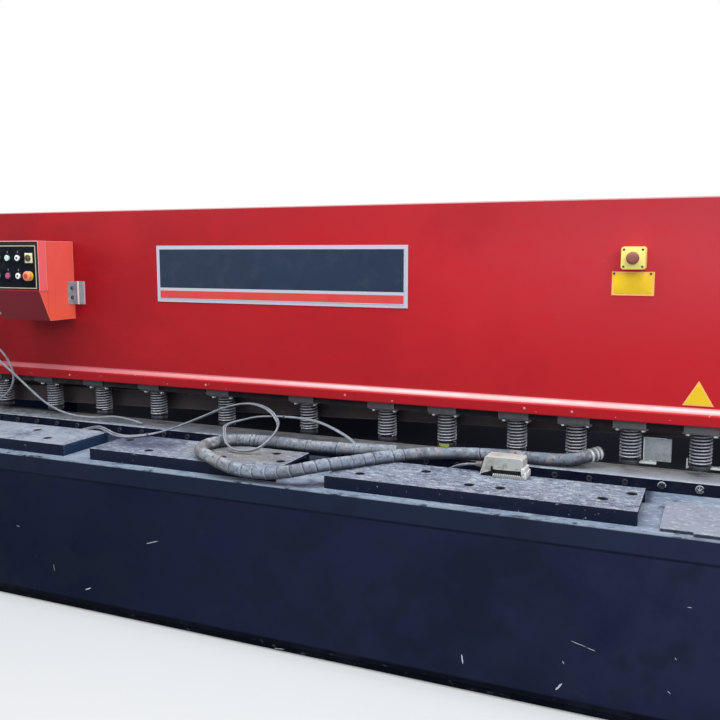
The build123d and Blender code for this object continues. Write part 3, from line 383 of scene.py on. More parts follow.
def table_steel():
    finish = worn_steel("table_steel")
    finish.mottle((0.50, 0.56, 0.62), 0.45, 44, 0.535, 0.60, stretch=(0.7, 1.4, 1), shift=21.0)
    finish.mottle((0.035, 0.045, 0.075), 0.55, 38, 0.565, 0.625, stretch=(0.7, 1.4, 1), shift=23.0)
    side = finish.turned("Z", 0.5, 0.2)
    brown = finish.both(
        finish.spot((-0.02, -0.68, 0.70), (0.34, 0.17, 0.2)), finish.noise(14, 0.3, 0.6, shift=9.0))
    finish.layer((0.20, 0.19, 0.155), brown, 0.7)
    first = finish.both(finish.along("X", -0.75, -0.85), finish.noise(12, 0.3, 0.6, shift=2.0))
    finish.layer((0.33, 0.385, 0.455), first, 0.6)
    # Painted shade: a dark patch round where the cables lie on the middle plate
    cable_shade = finish.both(
        finish.spot((-0.48, -0.66, 0.70), (0.24, 0.16, 0.2)), finish.noise(8, 0.3, 0.55, shift=4.0))
    finish.layer((0.045, 0.055, 0.10), cable_shade, 0.75)
    finish.layer((0.60, 0.64, 0.69), finish.both(
        finish.edge(0.006), finish.noise(45, 0.35, 0.55), finish.turned("Z", 0.5, 0.8)), 0.35)
    finish.layer((0.0035, 0.0070, 0.0240), side)
    finish.layer((0.014, 0.020, 0.046), finish.both(side, finish.noise(6, 0.45, 0.7, shift=6.0)), 0.35)
    end = finish.both(finish.turned("X", 0.5, 0.9), finish.band("X", -0.80, -0.78))
    finish.layer((0.024, 0.044, 0.105), end, 0.9)
    finish.layer((0.050, 0.085, 0.170), finish.both(end, finish.noise(9, 0.48, 0.62, shift=5.0)), 0.5)
    finish.layer((0.42, 0.46, 0.52), finish.both(
        side, finish.band("Z", 0.6985, 0.71, 0.0005), finish.noise(30, 0.45, 0.58)), 0.35)
    finish.layer((0.30, 0.33, 0.38), finish.both(
        side, finish.noise(48, 0.66, 0.72, detail=3, shift=11.0)), 0.5)
    return finish


def holder_steel():
    finish = worn_steel("holder_steel", (0.135, 0.160, 0.215))
    top = finish.turned("Z", 0.4, 0.6)
    front = finish.turned("Y", -0.75, -0.95)
    finish.layer((0.10, 0.095, 0.110), finish.both(top, finish.along("Y", -0.40, -0.36)), 0.55)
    finish.layer((0.36, 0.39, 0.42), finish.both(
        top, finish.band("Y", -0.424, -0.404, 0.003), finish.noise(24, 0.3, 0.55, shift=6.0)), 0.35)
    middle = finish.both(top, finish.along("X", -0.75, -0.55), finish.along("X", 1.0, 0.8))
    finish.layer((0.075, 0.092, 0.130), finish.both(middle, finish.noise(7, 0.25, 0.6, shift=8.0)), 0.6)
    finish.layer((0.42, 0.46, 0.46), finish.both(
        top, finish.along("X", -0.9, -1.1), finish.noise(30, 0.40, 0.58, shift=3.0)), 0.5)
    finish.layer((0.36, 0.37, 0.42), finish.both(top, finish.along("X", 0.9, 1.6)), 0.5)
    finish.layer((0.0022, 0.0042, 0.0165), front)
    finish.layer((0.014, 0.018, 0.036), finish.both(front, finish.noise(16, 0.48, 0.7)), 0.6)
    finish.layer((0.11, 0.12, 0.15), finish.both(front, finish.noise(60, 0.66, 0.72, shift=3.0)), 0.5)
    finish.layer((0.50, 0.52, 0.55), finish.both(
        finish.band("Z", 0.6965, 0.6995, 0.0008), finish.noise(22, 0.36, 0.55, shift=1.0)), 0.4)
    return finish


def blade_steel():
    """Tool steel, drawn dark and brownish."""
    finish = Finish("blade_steel", (0.050, 0.040, 0.046), 0.5, 0.15, gloss_level=0.25)
    finish.mottle((0.085, 0.066, 0.062), 0.7, 5, 0.40, 0.68, stretch=(0.5, 1, 1))
    finish.mottle((0.022, 0.021, 0.030), 0.6, 8, 0.48, 0.72, stretch=(0.6, 1, 1), shift=4.0)
    finish.mottle((0.20, 0.17, 0.16), 0.4, 70, 0.63, 0.70, stretch=(0.4, 1, 1))
    finish.layer((0.42, 0.42, 0.44), finish.edge(0.003), 0.5)
    finish.bump(finish.noise(60, 0.25, 0.8), 0.0006, 0.4)
    return finish


def ledge_paint():
    finish = Finish("ledge_paint", (0.17, 0.220, 0.305), 0.55, gloss_level=0.12)
    finish.mottle((0.30, 0.365, 0.445), 0.7, 6, 0.4, 0.65, stretch=(0.6, 1, 1))
    finish.mottle((0.045, 0.060, 0.105), 0.7, 9, 0.48, 0.68, shift=3.0)
    finish.mottle((0.48, 0.53, 0.60), 0.6, 60, 0.56, 0.66, stretch=(0.6, 1, 1), shift=1.0)
    finish.mottle((0.030, 0.038, 0.065), 0.65, 75, 0.60, 0.68, stretch=(0.6, 1, 1))
    rear = finish.along("Y", -0.60, -0.57)
    middle = finish.band("X", -1.63, 1.60, 0.02)
    finish.layer((0.013, 0.018, 0.038), finish.both(rear, middle), 0.9)
    finish.layer((0.42, 0.44, 0.47), finish.both(rear, middle, finish.noise(34, 0.62, 0.70, shift=5.0)), 0.5)
    block = finish.along("Z", 0.6545, 0.6575)
    finish.layer((0.23, 0.265, 0.325), block, 0.8)
    finish.layer((0.16, 0.18, 0.22), finish.both(block, finish.noise(40, 0.52, 0.68, shift=6.0)), 0.6)
    finish.layer((0.42, 0.46, 0.52), finish.both(block, finish.noise(60, 0.54, 0.65, shift=2.0)), 0.6)
    side = finish.turned("Z", 0.5, 0.2)
    finish.layer((0.010, 0.014, 0.030), side, 0.9)
    finish.layer((0.40, 0.44, 0.50), finish.both(finish.edge(0.006), finish.noise(50, 0.4, 0.55)), 0.5)
    finish.gloss(finish.noise(14, 0.3, 0.7), 0.42, 0.66)
    finish.bump(finish.noise(60, 0.25, 0.8), 0.0012, 0.4)
    return finish


def beam_paint():
    finish = Finish("beam_paint", (0.0075, 0.0075, 0.0115), 0.6, gloss_level=0.12)
    finish.mottle((0.030, 0.023, 0.025), 0.7, 4, 0.4, 0.65, stretch=(0.5, 1, 2))
    finish.mottle((0.0035, 0.0045, 0.009), 0.6, 7, 0.45, 0.7, shift=5.0)
    left = finish.along("X", -0.6, -1.4)
    finish.layer((0.085, 0.068, 0.066), finish.both(left, finish.noise(9, 0.4, 0.65, shift=2.0)), 0.7)
    finish.mottle((0.12, 0.11, 0.105), 0.35, 42, 0.64, 0.72)
    finish.layer((0.16, 0.15, 0.15), finish.both(finish.edge(0.004), finish.noise(30, 0.42, 0.6)), 0.4)
    finish.bump(finish.noise(30, 0.25, 0.8), 0.001, 0.4)
    return finish


def housing_paint():
    """Grey flanges, with painted light and shade making them paler towards the right end and darker towards
    the left; darker on top and below.
    """
    finish = Finish("housing_paint", (0.185, 0.180, 0.190), 0.5, 0.1, gloss_level=0.3)
    finish.mottle((0.090, 0.088, 0.100), 0.6, 28, 0.45, 0.68)
    finish.mottle((0.36, 0.36, 0.37), 0.5, 60, 0.56, 0.68, shift=3.0)
    # Painted light: paler towards the right end
    finish.layer((0.28, 0.285, 0.30), finish.along("X", 0.9, 1.9), 0.5)
    finish.layer((0.045, 0.040, 0.048), finish.along("Z", 0.8720, 0.8745), 0.6)
    finish.mottle((0.15, 0.125, 0.115), 0.5, 11, 0.55, 0.7, shift=6.0)
    # Painted highlight along the edges
    finish.layer((0.55, 0.56, 0.58), finish.edge(0.003), 0.5)
    # Painted shade towards the left end
    finish.layer((0.045, 0.050, 0.070), finish.along("X", 0.4, -1.1), 0.8)
    finish.layer((0.012, 0.012, 0.016), finish.along("Z", 0.8632, 0.8622))
    finish.bump(finish.noise(90, 0.3, 0.8), 0.0006, 0.4)
    return finish


def nameplate_paint():
    """Pale frame and dark field, with one plain red band along the bottom."""
    finish = Finish("nameplate_paint", (0.47, 0.48, 0.57), 0.4, gloss_level=0.15)
    finish.mottle((0.44, 0.45, 0.52), 0.35, 60, 0.5, 0.7)
    front = finish.turned("Y", -0.9, -0.98)
    across = finish.band("X", -0.601, 0.601, 0.0008)
    field = finish.both(front, across, finish.band("Z", 1.3645, 1.5395, 0.0008))
    band = finish.both(front, across, finish.band("Z", 1.3165, 1.3515, 0.0008))
    finish.layer((0.016, 0.029, 0.058), field)
    finish.layer((0.030, 0.044, 0.075), finish.both(field, finish.noise(14, 0.45, 0.7)), 0.5)
    finish.layer((0.010, 0.020, 0.042), finish.both(field, finish.noise(5, 0.5, 0.7, shift=3.0)), 0.5)
    finish.layer((0.60, 0.062, 0.055), band)
    finish.layer((0.50, 0.042, 0.045), finish.both(band, finish.noise(12, 0.45, 0.7, shift=3.0)), 0.5)
    finish.gloss(finish.noise(8, 0.3, 0.7), 0.30, 0.46)
    finish.bump(finish.noise(120, 0.3, 0.8), 0.0002, 0.2)
    return finish


def metal(name, colour, roughness, dirt, dirt_strength=0.5, metallic=0.85):
    finish = Finish(name, colour, roughness, metallic)
    finish.layer(dirt, finish.noise(60, 0.45, 0.65), dirt_strength)
    finish.layer(tuple(0.4 * value for value in colour), finish.noise(18, 0.5, 0.7, shift=2.0), 0.4)
    finish.gloss(finish.noise(80, 0.3, 0.7), roughness * 0.8, min(1.0, roughness * 1.35))
    finish.bump(finish.noise(220, 0.3, 0.7), 0.0003, 0.3)
    return finish


def spring_wire():
    """Oiled spring wire, with a painted highlight along the top of each turn and painted shade below it."""
    finish = Finish("spring_steel", (0.17, 0.18, 0.22), 0.4, 0.3)
    up = finish.facing("Z")
    # Painted shade on the downward faces, painted highlight on the upward faces
    finish.layer((0.020, 0.021, 0.030), finish.span(up, 0.15, -0.35))
    finish.layer((0.62, 0.64, 0.70), finish.span(up, 0.15, 0.62), 0.9)
    finish.mottle((0.12, 0.11, 0.11), 0.4, 26, 0.52, 0.68)
    finish.gloss(finish.noise(30, 0.3, 0.7), 0.34, 0.5)
    return finish


def bracket_zinc():
    """Zinc sheet with a rolled rib, a painted highlight along the rib and a painted reflection of the red
    plate beyond it.
    """
    finish = Finish("bracket_zinc", (0.34, 0.34, 0.38), 0.4, 0.3)
    finish.mottle((0.62, 0.60, 0.64), 0.5, 45, 0.48, 0.62)
    finish.mottle((0.15, 0.13, 0.17), 0.6, 60, 0.55, 0.66, shift=4.0)
    # Painted highlight: white along the front of the rib, grey beside it
    finish.layer((0.90, 0.96, 0.96), finish.band("X", -1.0815, -1.0705, 0.001), 0.95)
    finish.layer((0.30, 0.36, 0.36), finish.band("X", -1.0700, -1.0640, 0.001), 0.8)
    # Painted reflection of the red plate: pink, then purple, on the leg beyond the rib
    finish.layer((0.92, 0.68, 0.80), finish.along("X", -1.0530, -1.0505), 0.85)
    finish.layer((0.40, 0.16, 0.34), finish.along("X", -1.0490, -1.0480), 0.7)
    finish.gloss(finish.noise(50, 0.3, 0.7), 0.3, 0.5)
    finish.bump(finish.noise(120, 0.3, 0.7), 0.0003, 0.3)
    return finish


def plastic(name, colour, roughness=0.35, dirt=(0.10, 0.09, 0.08), dirt_strength=0.35, gloss_level=0.3):
    finish = Finish(name, colour, roughness, gloss_level=gloss_level)
    brighter = tuple(min(1.0, 1.15 * value + 0.01) for value in colour)
    finish.layer(dirt, finish.noise(70, 0.55, 0.72), dirt_strength)
    finish.layer(brighter, finish.noise(25, 0.45, 0.7, shift=4.0), 0.4)
    finish.gloss(finish.noise(50, 0.3, 0.7), roughness * 0.85, min(1.0, roughness * 1.4))
    finish.bump(finish.noise(300, 0.3, 0.7), 0.0002, 0.25)
    return finish


def hose_wrap():
    """Grey tape: brownish and rough round the loop, bluish in front, smoother to the right."""
    finish = Finish("hose_wrap", (0.155, 0.185, 0.235), 0.62, gloss_level=0.12)
    along = finish.attribute("along")
    up = finish.facing("Z")
    in_front = finish.both(finish.span(along, 0.75, 0.85), finish.span(along, 1.25, 1.1))
    finish.layer((0.21, 0.25, 0.325), in_front, 0.8)
    loop = finish.both(finish.span(along, 1.50, 1.62), finish.span(along, 1.88, 1.84))
    finish.layer((0.20, 0.195, 0.19), loop, 0.8)
    # Painted highlight: a pale stretch on a bend of the hose
    bright = finish.both(finish.span(along, 1.862, 1.874), finish.span(along, 1.940, 1.928))
    finish.layer((0.48, 0.52, 0.56), bright, 0.75)
    finish.mottle((0.26, 0.30, 0.36), 0.5, 11, 0.46, 0.62)
    finish.mottle((0.100, 0.100, 0.120), 0.65, 16, 0.46, 0.62, shift=3.0)
    blotches = finish.both(finish.span(along, 0.80, 0.70), finish.noise(20, 0.50, 0.62, shift=12.0))
    finish.layer((0.31, 0.26, 0.27), blotches, 0.7)
    old_tape = finish.both(finish.span(along, 1.98, 2.02), finish.noise(24, 0.45, 0.6, shift=14.0))
    finish.layer((0.27, 0.27, 0.28), old_tape, 0.6)
    # Painted highlight: paler patches on the upward faces of the hose
    top_wear_and_highlight = finish.both(finish.span(up, 0.45, 0.9), finish.noise(38, 0.46, 0.60))
    finish.layer((0.44, 0.49, 0.53), top_wear_and_highlight, 0.4)
    finish.mottle((0.50, 0.53, 0.56), 0.45, 75, 0.59, 0.67, shift=2.0)
    finish.mottle((0.045, 0.050, 0.070), 0.7, 70, 0.56, 0.64, shift=8.0)
    # Painted shade on the downward faces of the hose
    finish.layer((0.035, 0.037, 0.052), finish.span(up, 0.0, -0.60), 0.8)
    finish.layer((0.42, 0.44, 0.49), finish.attribute("lap"), 0.4)
    finish.layer((0.008, 0.011, 0.020), finish.attribute("seam"), 0.98)
    finish.bump(finish.noise(150, 0.3, 0.8), 0.0010, 0.5)
    return finish


def cable_sheath():
    finish = Finish("cable_sheath", (0.22, 0.245, 0.285), 0.5, gloss_level=0.35)
    finish.mottle((0.38, 0.41, 0.45), 0.6, 16, 0.45, 0.65)
    finish.mottle((0.075, 0.08, 0.095), 0.6, 24, 0.55, 0.7, shift=3.0)
    finish.mottle((0.14, 0.13, 0.12), 0.5, 90, 0.60, 0.70, shift=5.0)
    finish.bump(finish.noise(200, 0.3, 0.8), 0.0003, 0.3)
    return finish


def beige_plastic():
    """Dirty beige housing: brownish at one side, paler and greener at the other."""
    finish = Finish("connector_beige", (0.44, 0.45, 0.43), 0.55, gloss_level=0.2)
    left = finish.along("X", 1.085, 1.045)
    finish.mottle((0.36, 0.40, 0.39), 0.6, 22, 0.4, 0.65)
    finish.layer((0.30, 0.265, 0.24), finish.both(left, finish.noise(60, 0.35, 0.6, shift=2.0)), 0.7)
    finish.mottle((0.17, 0.16, 0.14), 0.6, 45, 0.55, 0.70, shift=3.0)
    finish.mottle((0.09, 0.085, 0.08), 0.6, 120, 0.62, 0.72, shift=5.0)
    # Painted highlight along the edges of the housing
    finish.layer((0.75, 0.78, 0.78), finish.edge(0.004, 0.99, 0.9), 0.7)
    finish.bump(finish.noise(120, 0.3, 0.8), 0.0006, 0.4)
    return finish


finishes = {finish.name: finish.material for finish in (
    red_paint(), box_paint(), navy_paint(), wall_paint(), ledge_paint(), table_steel(),
    holder_steel(), blade_steel(), beam_paint(), housing_paint(), nameplate_paint(),
    metal("dark_bolt", (0.035, 0.042, 0.06), 0.5, (0.012, 0.015, 0.025), 0.5, 0.4),
    metal("ring_steel", (0.50, 0.52, 0.54), 0.4, (0.12, 0.13, 0.15), 0.4, 0.5),
    metal("zinc_steel", (0.62, 0.64, 0.68), 0.3, (0.25, 0.25, 0.27), 0.35),
    metal("white_zinc", (0.70, 0.74, 0.76), 0.45, (0.38, 0.40, 0.40), 0.4, 0.15),
    metal("bright_steel", (0.50, 0.51, 0.53), 0.3, (0.20, 0.20, 0.21), 0.35),
    spring_wire(),
    bracket_zinc(),
    navy_paint("guard_paint").layer((0.145, 0.165, 0.205), 0.85),
    navy_paint("end_blue").layer((0.020, 0.042, 0.098), 0.75),
    plastic("lip_screw", (0.62, 0.24, 0.23), 0.4, (0.35, 0.08, 0.08), 0.5),
    plastic("tie_plastic", (0.055, 0.065, 0.085), 0.45),
    metal("foot_steel", (0.040, 0.043, 0.060), 0.45, (0.014, 0.015, 0.022), 0.5, 0.3),
    metal("pale_plate", (0.40, 0.45, 0.46), 0.5, (0.24, 0.28, 0.30), 0.5, 0.0),
    plastic("tape_green", (0.36, 0.42, 0.10), 0.5, (0.10, 0.12, 0.03), 0.6),
    plastic("plate_red", (0.62, 0.045, 0.05), 0.4, (0.35, 0.04, 0.05), 0.3),
    plastic("marker_edge", (0.86, 0.45, 0.14), 0.4, (0.55, 0.25, 0.08), 0.3),
    plastic("marker_yellow", (0.76, 0.50, 0.012), 0.4, (0.55, 0.33, 0.012), 0.35),
    plastic("triangle_edge", (0.80, 0.55, 0.22), 0.4, (0.5, 0.30, 0.10), 0.3),
    plastic("box_yellow", (0.80, 0.68, 0.19), 0.4, (0.50, 0.38, 0.10), 0.3),
    plastic("panel_black", (0.0030, 0.0045, 0.0075), 0.6, (0.010, 0.010, 0.013), 0.4, 0.06),
    plastic("panel_border", (0.40, 0.42, 0.30), 0.4, (0.16, 0.17, 0.12), 0.4),
    plastic("label_grey", (0.14, 0.15, 0.19), 0.5, (0.04, 0.04, 0.06), 0.5),
    plastic("key_cream", (0.70, 0.66, 0.48), 0.4, (0.30, 0.28, 0.18), 0.35),
    plastic("key_olive", (0.075, 0.066, 0.035), 0.4, (0.03, 0.026, 0.015), 0.4),
    metal("brass", (0.48, 0.38, 0.20), 0.35, (0.18, 0.13, 0.06), 0.4),
    plastic("stop_red", (0.55, 0.045, 0.030), 0.35, (0.30, 0.03, 0.02), 0.3),
    plastic("stop_peach", (0.78, 0.25, 0.12), 0.4, (0.5, 0.12, 0.06), 0.3),
    plastic("stop_brown", (0.24, 0.085, 0.070), 0.45, (0.14, 0.06, 0.05), 0.4),
    plastic("button_white", (0.78, 0.80, 0.84), 0.3, (0.45, 0.46, 0.50), 0.3),
    plastic("button_mint", (0.52, 0.68, 0.64), 0.3, (0.25, 0.38, 0.34), 0.35),
    plastic("button_green", (0.16, 0.45, 0.33), 0.3, (0.06, 0.22, 0.15), 0.35),
    plastic("button_purple", (0.36, 0.075, 0.20), 0.3, (0.2, 0.05, 0.12), 0.35),
    plastic("button_grey", (0.16, 0.25, 0.25), 0.3, (0.08, 0.13, 0.13), 0.35),
    plastic("cap_black", (0.010, 0.011, 0.015), 0.4, gloss_level=0.15),
    hose_wrap(),
    cable_sheath(),
    beige_plastic(),
    plastic("contact_white", (0.60, 0.62, 0.62), 0.45, (0.22, 0.22, 0.21), 0.4),
    plastic("cap_brown", (0.15, 0.135, 0.125), 0.5, (0.06, 0.055, 0.05), 0.5),
    plastic("scratch_grey", (0.42, 0.45, 0.50), 0.6, (0.22, 0.24, 0.28), 0.4),
)}

# The finish of each node of the solids
node_finishes = {
    "red_paint": ["front_plate"],
    "box_paint": ["control_box"],
    "wall_paint": ["bed_front_wall"],
    "navy_paint": ["bed_web", "side_frame_left", "side_frame_right", "rear_slide", "rear_tie_beam",
                   "power_unit", "cylinder_barrels"],
    "ledge_paint": ["bed_top_plate"],
    "table_steel": ["table_plate_left", "table_plate_middle", "table_plate_right"],
    "holder_steel": ["blade_holder"],
    "blade_steel": ["upper_blade", "lower_blade"],
    "beam_paint": ["hold_down_beam", "blade_beam"],
    "guard_paint": ["rear_guard", "back_gauge_beam", "back_gauge_rails"],
    "dark_bolt": ["lower_blade_bolts"],
    "housing_paint": ["hold_down_housings"],
    "zinc_steel": ["flange_bolts"],
    "bracket_zinc": ["angle_bracket"],
    "bright_steel": ["cylinder_rods", "beam_guides", "valve_block"],
    "spring_steel": ["hold_down_springs"],
    "foot_steel": [f"hold_down_piston_{index:02d}" for index in range(1, 13)],
    "marker_edge": ["marker_plates"],
    "box_yellow": ["stop_box"],
    "panel_black": ["control_panel"],
    "connector_beige": ["connector"],
    "hose_wrap": ["hose"],
    "cable_sheath": ["cable_a", "cable_b", "cable_c"],
    "key_olive": ["key_switch"],
    "stop_peach": ["panel_stop_button"],
    "stop_brown": ["wall_stop_button"],
    "button_white": ["push_button_1", "push_button_4"],
    "button_mint": ["push_button_2"],
    "button_green": ["push_button_3"],
    "button_purple": ["push_button_5"],
    "button_grey": ["push_button_6"],
    "nameplate_paint": ["nameplate"],
}
for finish_name, node_names in node_finishes.items():
    for node_name in node_names:
        slots = parts[node_name].data.materials
        slots.clear()
        slots.append(finishes[finish_name])


# Mesh helpers
def add_object(name, mesh, finish_name, body="frame", smooth=True):
    """An object from a mesh, with its finish, riding on a body."""
    for polygon in mesh.polygons:
        polygon.use_smooth = smooth
    thing = bpy.data.objects.new(name, mesh)
    bpy.context.scene.collection.objects.link(thing)
    mesh.materials.append(finishes[finish_name])
    if body:
        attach(thing, body)
    return thing


def mesh_from(name, vertices, faces):
    mesh = bpy.data.meshes.new(name)
    mesh.from_pydata([tuple(vertex) for vertex in vertices], [], faces)
    mesh.update()
    return mesh


def sharpen(thing, angle=35):
    """Smooth shading, with sharp edges where the surface turns by more than an angle."""
    shape = bmesh.new()
    shape.from_mesh(thing.data)
    bmesh.ops.recalc_face_normals(shape, faces=shape.faces)
    for edge in shape.edges:
        if len(edge.link_faces) == 2 and edge.calc_face_angle(0) > math.radians(angle):
            edge.smooth = False
    shape.to_mesh(thing.data)
    shape.free()
    return thing


def joined(name, things):
    """Several objects made into one, under one name."""
    bpy.ops.object.select_all(action="DESELECT")
    for thing in things:
        thing.select_set(True)
    bpy.context.view_layer.objects.active = things[0]
    bpy.ops.object.join()
    things[0].name = name
    return things[0]


def rings_object(name, rings, finish_name, body="frame", capped=True, angle=35):
    """A closed skin through rings of points, each with the same number of them."""
    count = len(rings[0])
    vertices = [point for ring in rings for point in ring]
    faces = []
    for ring in range(len(rings) - 1):
        for side in range(count):
            following = (side + 1) % count
            low, high = ring * count, (ring + 1) * count
            faces.append((low + side, low + following, high + following, high + side))
    if capped:
        faces.append(tuple(reversed(range(count))))
        last = (len(rings) - 1) * count
        faces.append(tuple(last + side for side in range(count)))
    return sharpen(add_object(name, mesh_from(name, vertices, faces), finish_name, body), angle)


def lathe(name, profile, origin, axis, finish_name, body="frame", sides=40, capped=True):
    """A turned form: (radius, height) pairs round an axis that leaves origin."""
    turn = Vector(to_top).rotation_difference(Vector(axis)).to_matrix()
    rings = []
    for radius, height in profile:
        ring = []
        for side in range(sides):
            angle = 2 * math.pi * side / sides
            spot = Vector((radius * math.cos(angle), radius * math.sin(angle), height))
            ring.append(Vector(origin) + turn @ spot)
        rings.append(ring)
    return rings_object(name, rings, finish_name, body, capped)


def rounded_outline(width, height, corner, inset=0.0, steps=6):
    """Points round a rectangle with round corners, centred on zero."""
    radius = max(corner - inset, 0.0004)
    across, up = width / 2 - inset - radius, height / 2 - inset - radius
    points = []
    for quarter, (sign_x, sign_z) in enumerate(((1, 1), (-1, 1), (-1, -1), (1, -1))):
        for step in range(steps + 1):
            angle = math.pi / 2 * (quarter + step / steps)
            points.append((
                sign_x * across + radius * math.cos(angle), sign_z * up + radius * math.sin(angle),
            ))
    return points


def front_slab(name, centre, size, back_y, front_y, corner, rim, finish_name, body="frame"):
    """A plate or box that faces the front, with round corners and a rounded front rim."""
    centre_x, centre_z = centre
    rings = []
    for depth, inset in ((back_y, 0), (front_y + rim, 0), (front_y + 0.3 * rim, 0.3 * rim), (front_y, rim)):
        outline = rounded_outline(size[0], size[1], corner, inset)
        rings.append([Vector((centre_x + x, depth, centre_z + z)) for x, z in outline])
    return rings_object(name, rings, finish_name, body)


def rounded_box(name, low, high, finish_name, bevel=0.002, body="frame"):
    """A box with rounded edges between two corners."""
    shape = bmesh.new()
    bmesh.ops.create_cube(shape, size=1)
    size = Vector(high) - Vector(low)
    middle = (Vector(high) + Vector(low)) / 2
    bmesh.ops.scale(shape, vec=size, verts=shape.verts)
    bmesh.ops.translate(shape, vec=middle, verts=shape.verts)
    bmesh.ops.bevel(shape, geom=list(shape.edges), offset=bevel, segments=3, affect="EDGES", profile=0.5)
    mesh = bpy.data.meshes.new(name)
    shape.to_mesh(mesh)
    shape.free()
    return sharpen(add_object(name, mesh, finish_name, body))


def route_points(name, route):
    """The smooth line of a route: a NURBS spline with the route's points as its control points."""
    curve = bpy.data.curves.new(name + "_line", "CURVE")
    curve.dimensions = "3D"
    curve.resolution_u = 24
    spline = curve.splines.new("NURBS")
    spline.points.add(len(route) - 1)
    for point, place in zip(spline.points, route):
        point.co = (*place, 1)
    spline.order_u = 3
    spline.use_endpoint_u = True
    holder = bpy.data.objects.new(name + "_line", curve)
    bpy.context.scene.collection.objects.link(holder)
    bpy.context.view_layer.update()
    line = bpy.data.meshes.new_from_object(holder.evaluated_get(bpy.context.evaluated_depsgraph_get()))
    points = [vertex.co.copy() for vertex in line.vertices]
    bpy.data.objects.remove(holder)
    bpy.data.curves.remove(curve)
    bpy.data.meshes.remove(line)
    return points


def even_points(points, step):
    """Points at even steps along a line, and the line's length."""
    lengths = [0.0]
    for before, after in zip(points, points[1:]):
        lengths.append(lengths[-1] + (after - before).length)
    count = max(2, round(lengths[-1] / step))
    result, index = [], 0
    for number in range(count + 1):
        target = lengths[-1] * number / count
        while index < len(points) - 2 and lengths[index + 1] < target:
            index += 1
        run = lengths[index + 1] - lengths[index]
        share = (target - lengths[index]) / run if run else 0
        result.append(points[index].lerp(points[index + 1], share))
    return result, lengths[-1]


def frames_along(points):
    """A side and an up direction at each point of a line, turning as little as they can."""
    directions = []
    for index in range(len(points)):
        before, after = points[max(0, index - 1)], points[min(len(points) - 1, index + 1)]
        directions.append((after - before).normalized())
    side = directions[0].cross(Vector(to_top)).normalized()
    result = []
    for direction in directions:
        side = (side - direction * side.dot(direction)).normalized()
        result.append((side.copy(), direction.cross(side).normalized()))
    return result


def tube(name, points, radius_at, sides, finish_name, body="frame", offset_at=None, marks=None):
    """A closed tube along points. Its radius, its offset from the line and its marks, which are
    values kept at each point for the finish, are functions of the step and the angle."""
    directions = frames_along(points)
    vertices, faces = [], []
    values = {mark: [] for mark in marks or {}}
    for index, (point, (side_way, up_way)) in enumerate(zip(points, directions)):
        centre = point
        if offset_at:
            aside, above = offset_at(index)
            centre = point + side_way * aside + up_way * above
        for side in range(sides):
            angle = 2 * math.pi * side / sides
            radius = radius_at(index, angle)
            vertices.append(centre + (side_way * math.cos(angle) + up_way * math.sin(angle)) * radius)
            for mark in values:
                values[mark].append(marks[mark](index, angle))
    for ring in range(len(points) - 1):
        for side in range(sides):
            following = (side + 1) % sides
            low, high = ring * sides, (ring + 1) * sides
            faces.append((low + side, high + side, high + following, low + following))
    faces.append(tuple(range(sides)))
    last = (len(points) - 1) * sides
    faces.append(tuple(last + side for side in reversed(range(sides))))
    mesh = mesh_from(name, vertices, faces)
    for mark, numbers in values.items():
        mesh.attributes.new(mark, "FLOAT", "POINT").data.foreach_set("value", numbers)
    return add_object(name, mesh, finish_name, body)


# Camera of the photograph
camera_data = bpy.data.cameras.new("camera")
camera_data.lens = 42.0
camera_data.sensor_width = 36.0
camera = bpy.data.objects.new("camera", camera_data)
camera.location = (1.798, -3.6224, 1.528)
camera.rotation_euler = (math.radians(82.67), 0, math.radians(23.37))
bpy.context.scene.collection.objects.link(camera)
bpy.context.scene.camera = camera

# Wrapped hose: each seam of the tape has a place along the hose and a depth, from 0 to 1
hose_line, hose_length = even_points(route_points("hose", hose_route), 0.0025)
hose_step = hose_length / (len(hose_line) - 1)
hose_seams = (
    (0.475, 0.75), (0.660, 0.15), (0.735, 0.35), (0.791, 0.95), (0.840, 1.0), (0.927, 0.9), (0.975, 0.85),
    (1.026, 0.7), (1.080, 0.55), (1.126, 0.85), (1.176, 0.85), (1.220, 0.8), (1.267, 0.9), (1.316, 0.75),
    (1.366, 0.8), (1.424, 0.75), (1.474, 0.7), (1.530, 0.7), (1.583, 0.6), (1.640, 0.15), (1.700, 0.1),
    (1.950, 0.9), (1.961, 0.9), (2.030, 0.5), (2.062, 0.4), (2.095, 0.95), (2.118, 0.7), (2.136, 0.8),
    (2.180, 0.3), (2.223, 0.6), (2.273, 0.4), (2.356, 0.6), (2.420, 0.35), (2.484, 0.9), (2.560, 0.4),
    (2.630, 0.3),
)
seam_tilt = 0.16
seam_reach = 0.0034
seam_groove = 0.0018
lap_reach = 0.03
lap_height = 0.0009
dent_height = 0.0013
hose_shrink = 0.0014


def nearest_seam(index, angle):
    """How far past the nearest seam a point of the hose lies, and that seam's depth."""
    place = index * hose_step + seam_tilt * hose_radius * math.sin(angle)
    seam = min(hose_seams, key=lambda one: abs(place - one[0]))
    return place - seam[0], seam[1]


def hose_radius_at(index, angle):
    past, depth = nearest_seam(index, angle)
    groove = seam_groove * depth * max(0.0, 1 - abs(past) / seam_reach)
    lap = lap_height * depth * max(0.0, 1 - past / lap_reach) if past > 0 else 0.0
    dent = noise.noise(Vector((index * 0.05, 1.3 * math.cos(angle), 1.3 * math.sin(angle))))
    return hose_radius - hose_shrink - groove + lap + dent_height * dent


def seam_mark(index, angle):
    past, depth = nearest_seam(index, angle)
    return depth * max(0.0, 1 - abs(past) / seam_reach)


def lap_mark(index, angle):
    """The raised edge of the tape beside a seam."""
    past, depth = nearest_seam(index, angle)
    return depth * max(0.0, 1 - abs(past - 0.005) / 0.003)


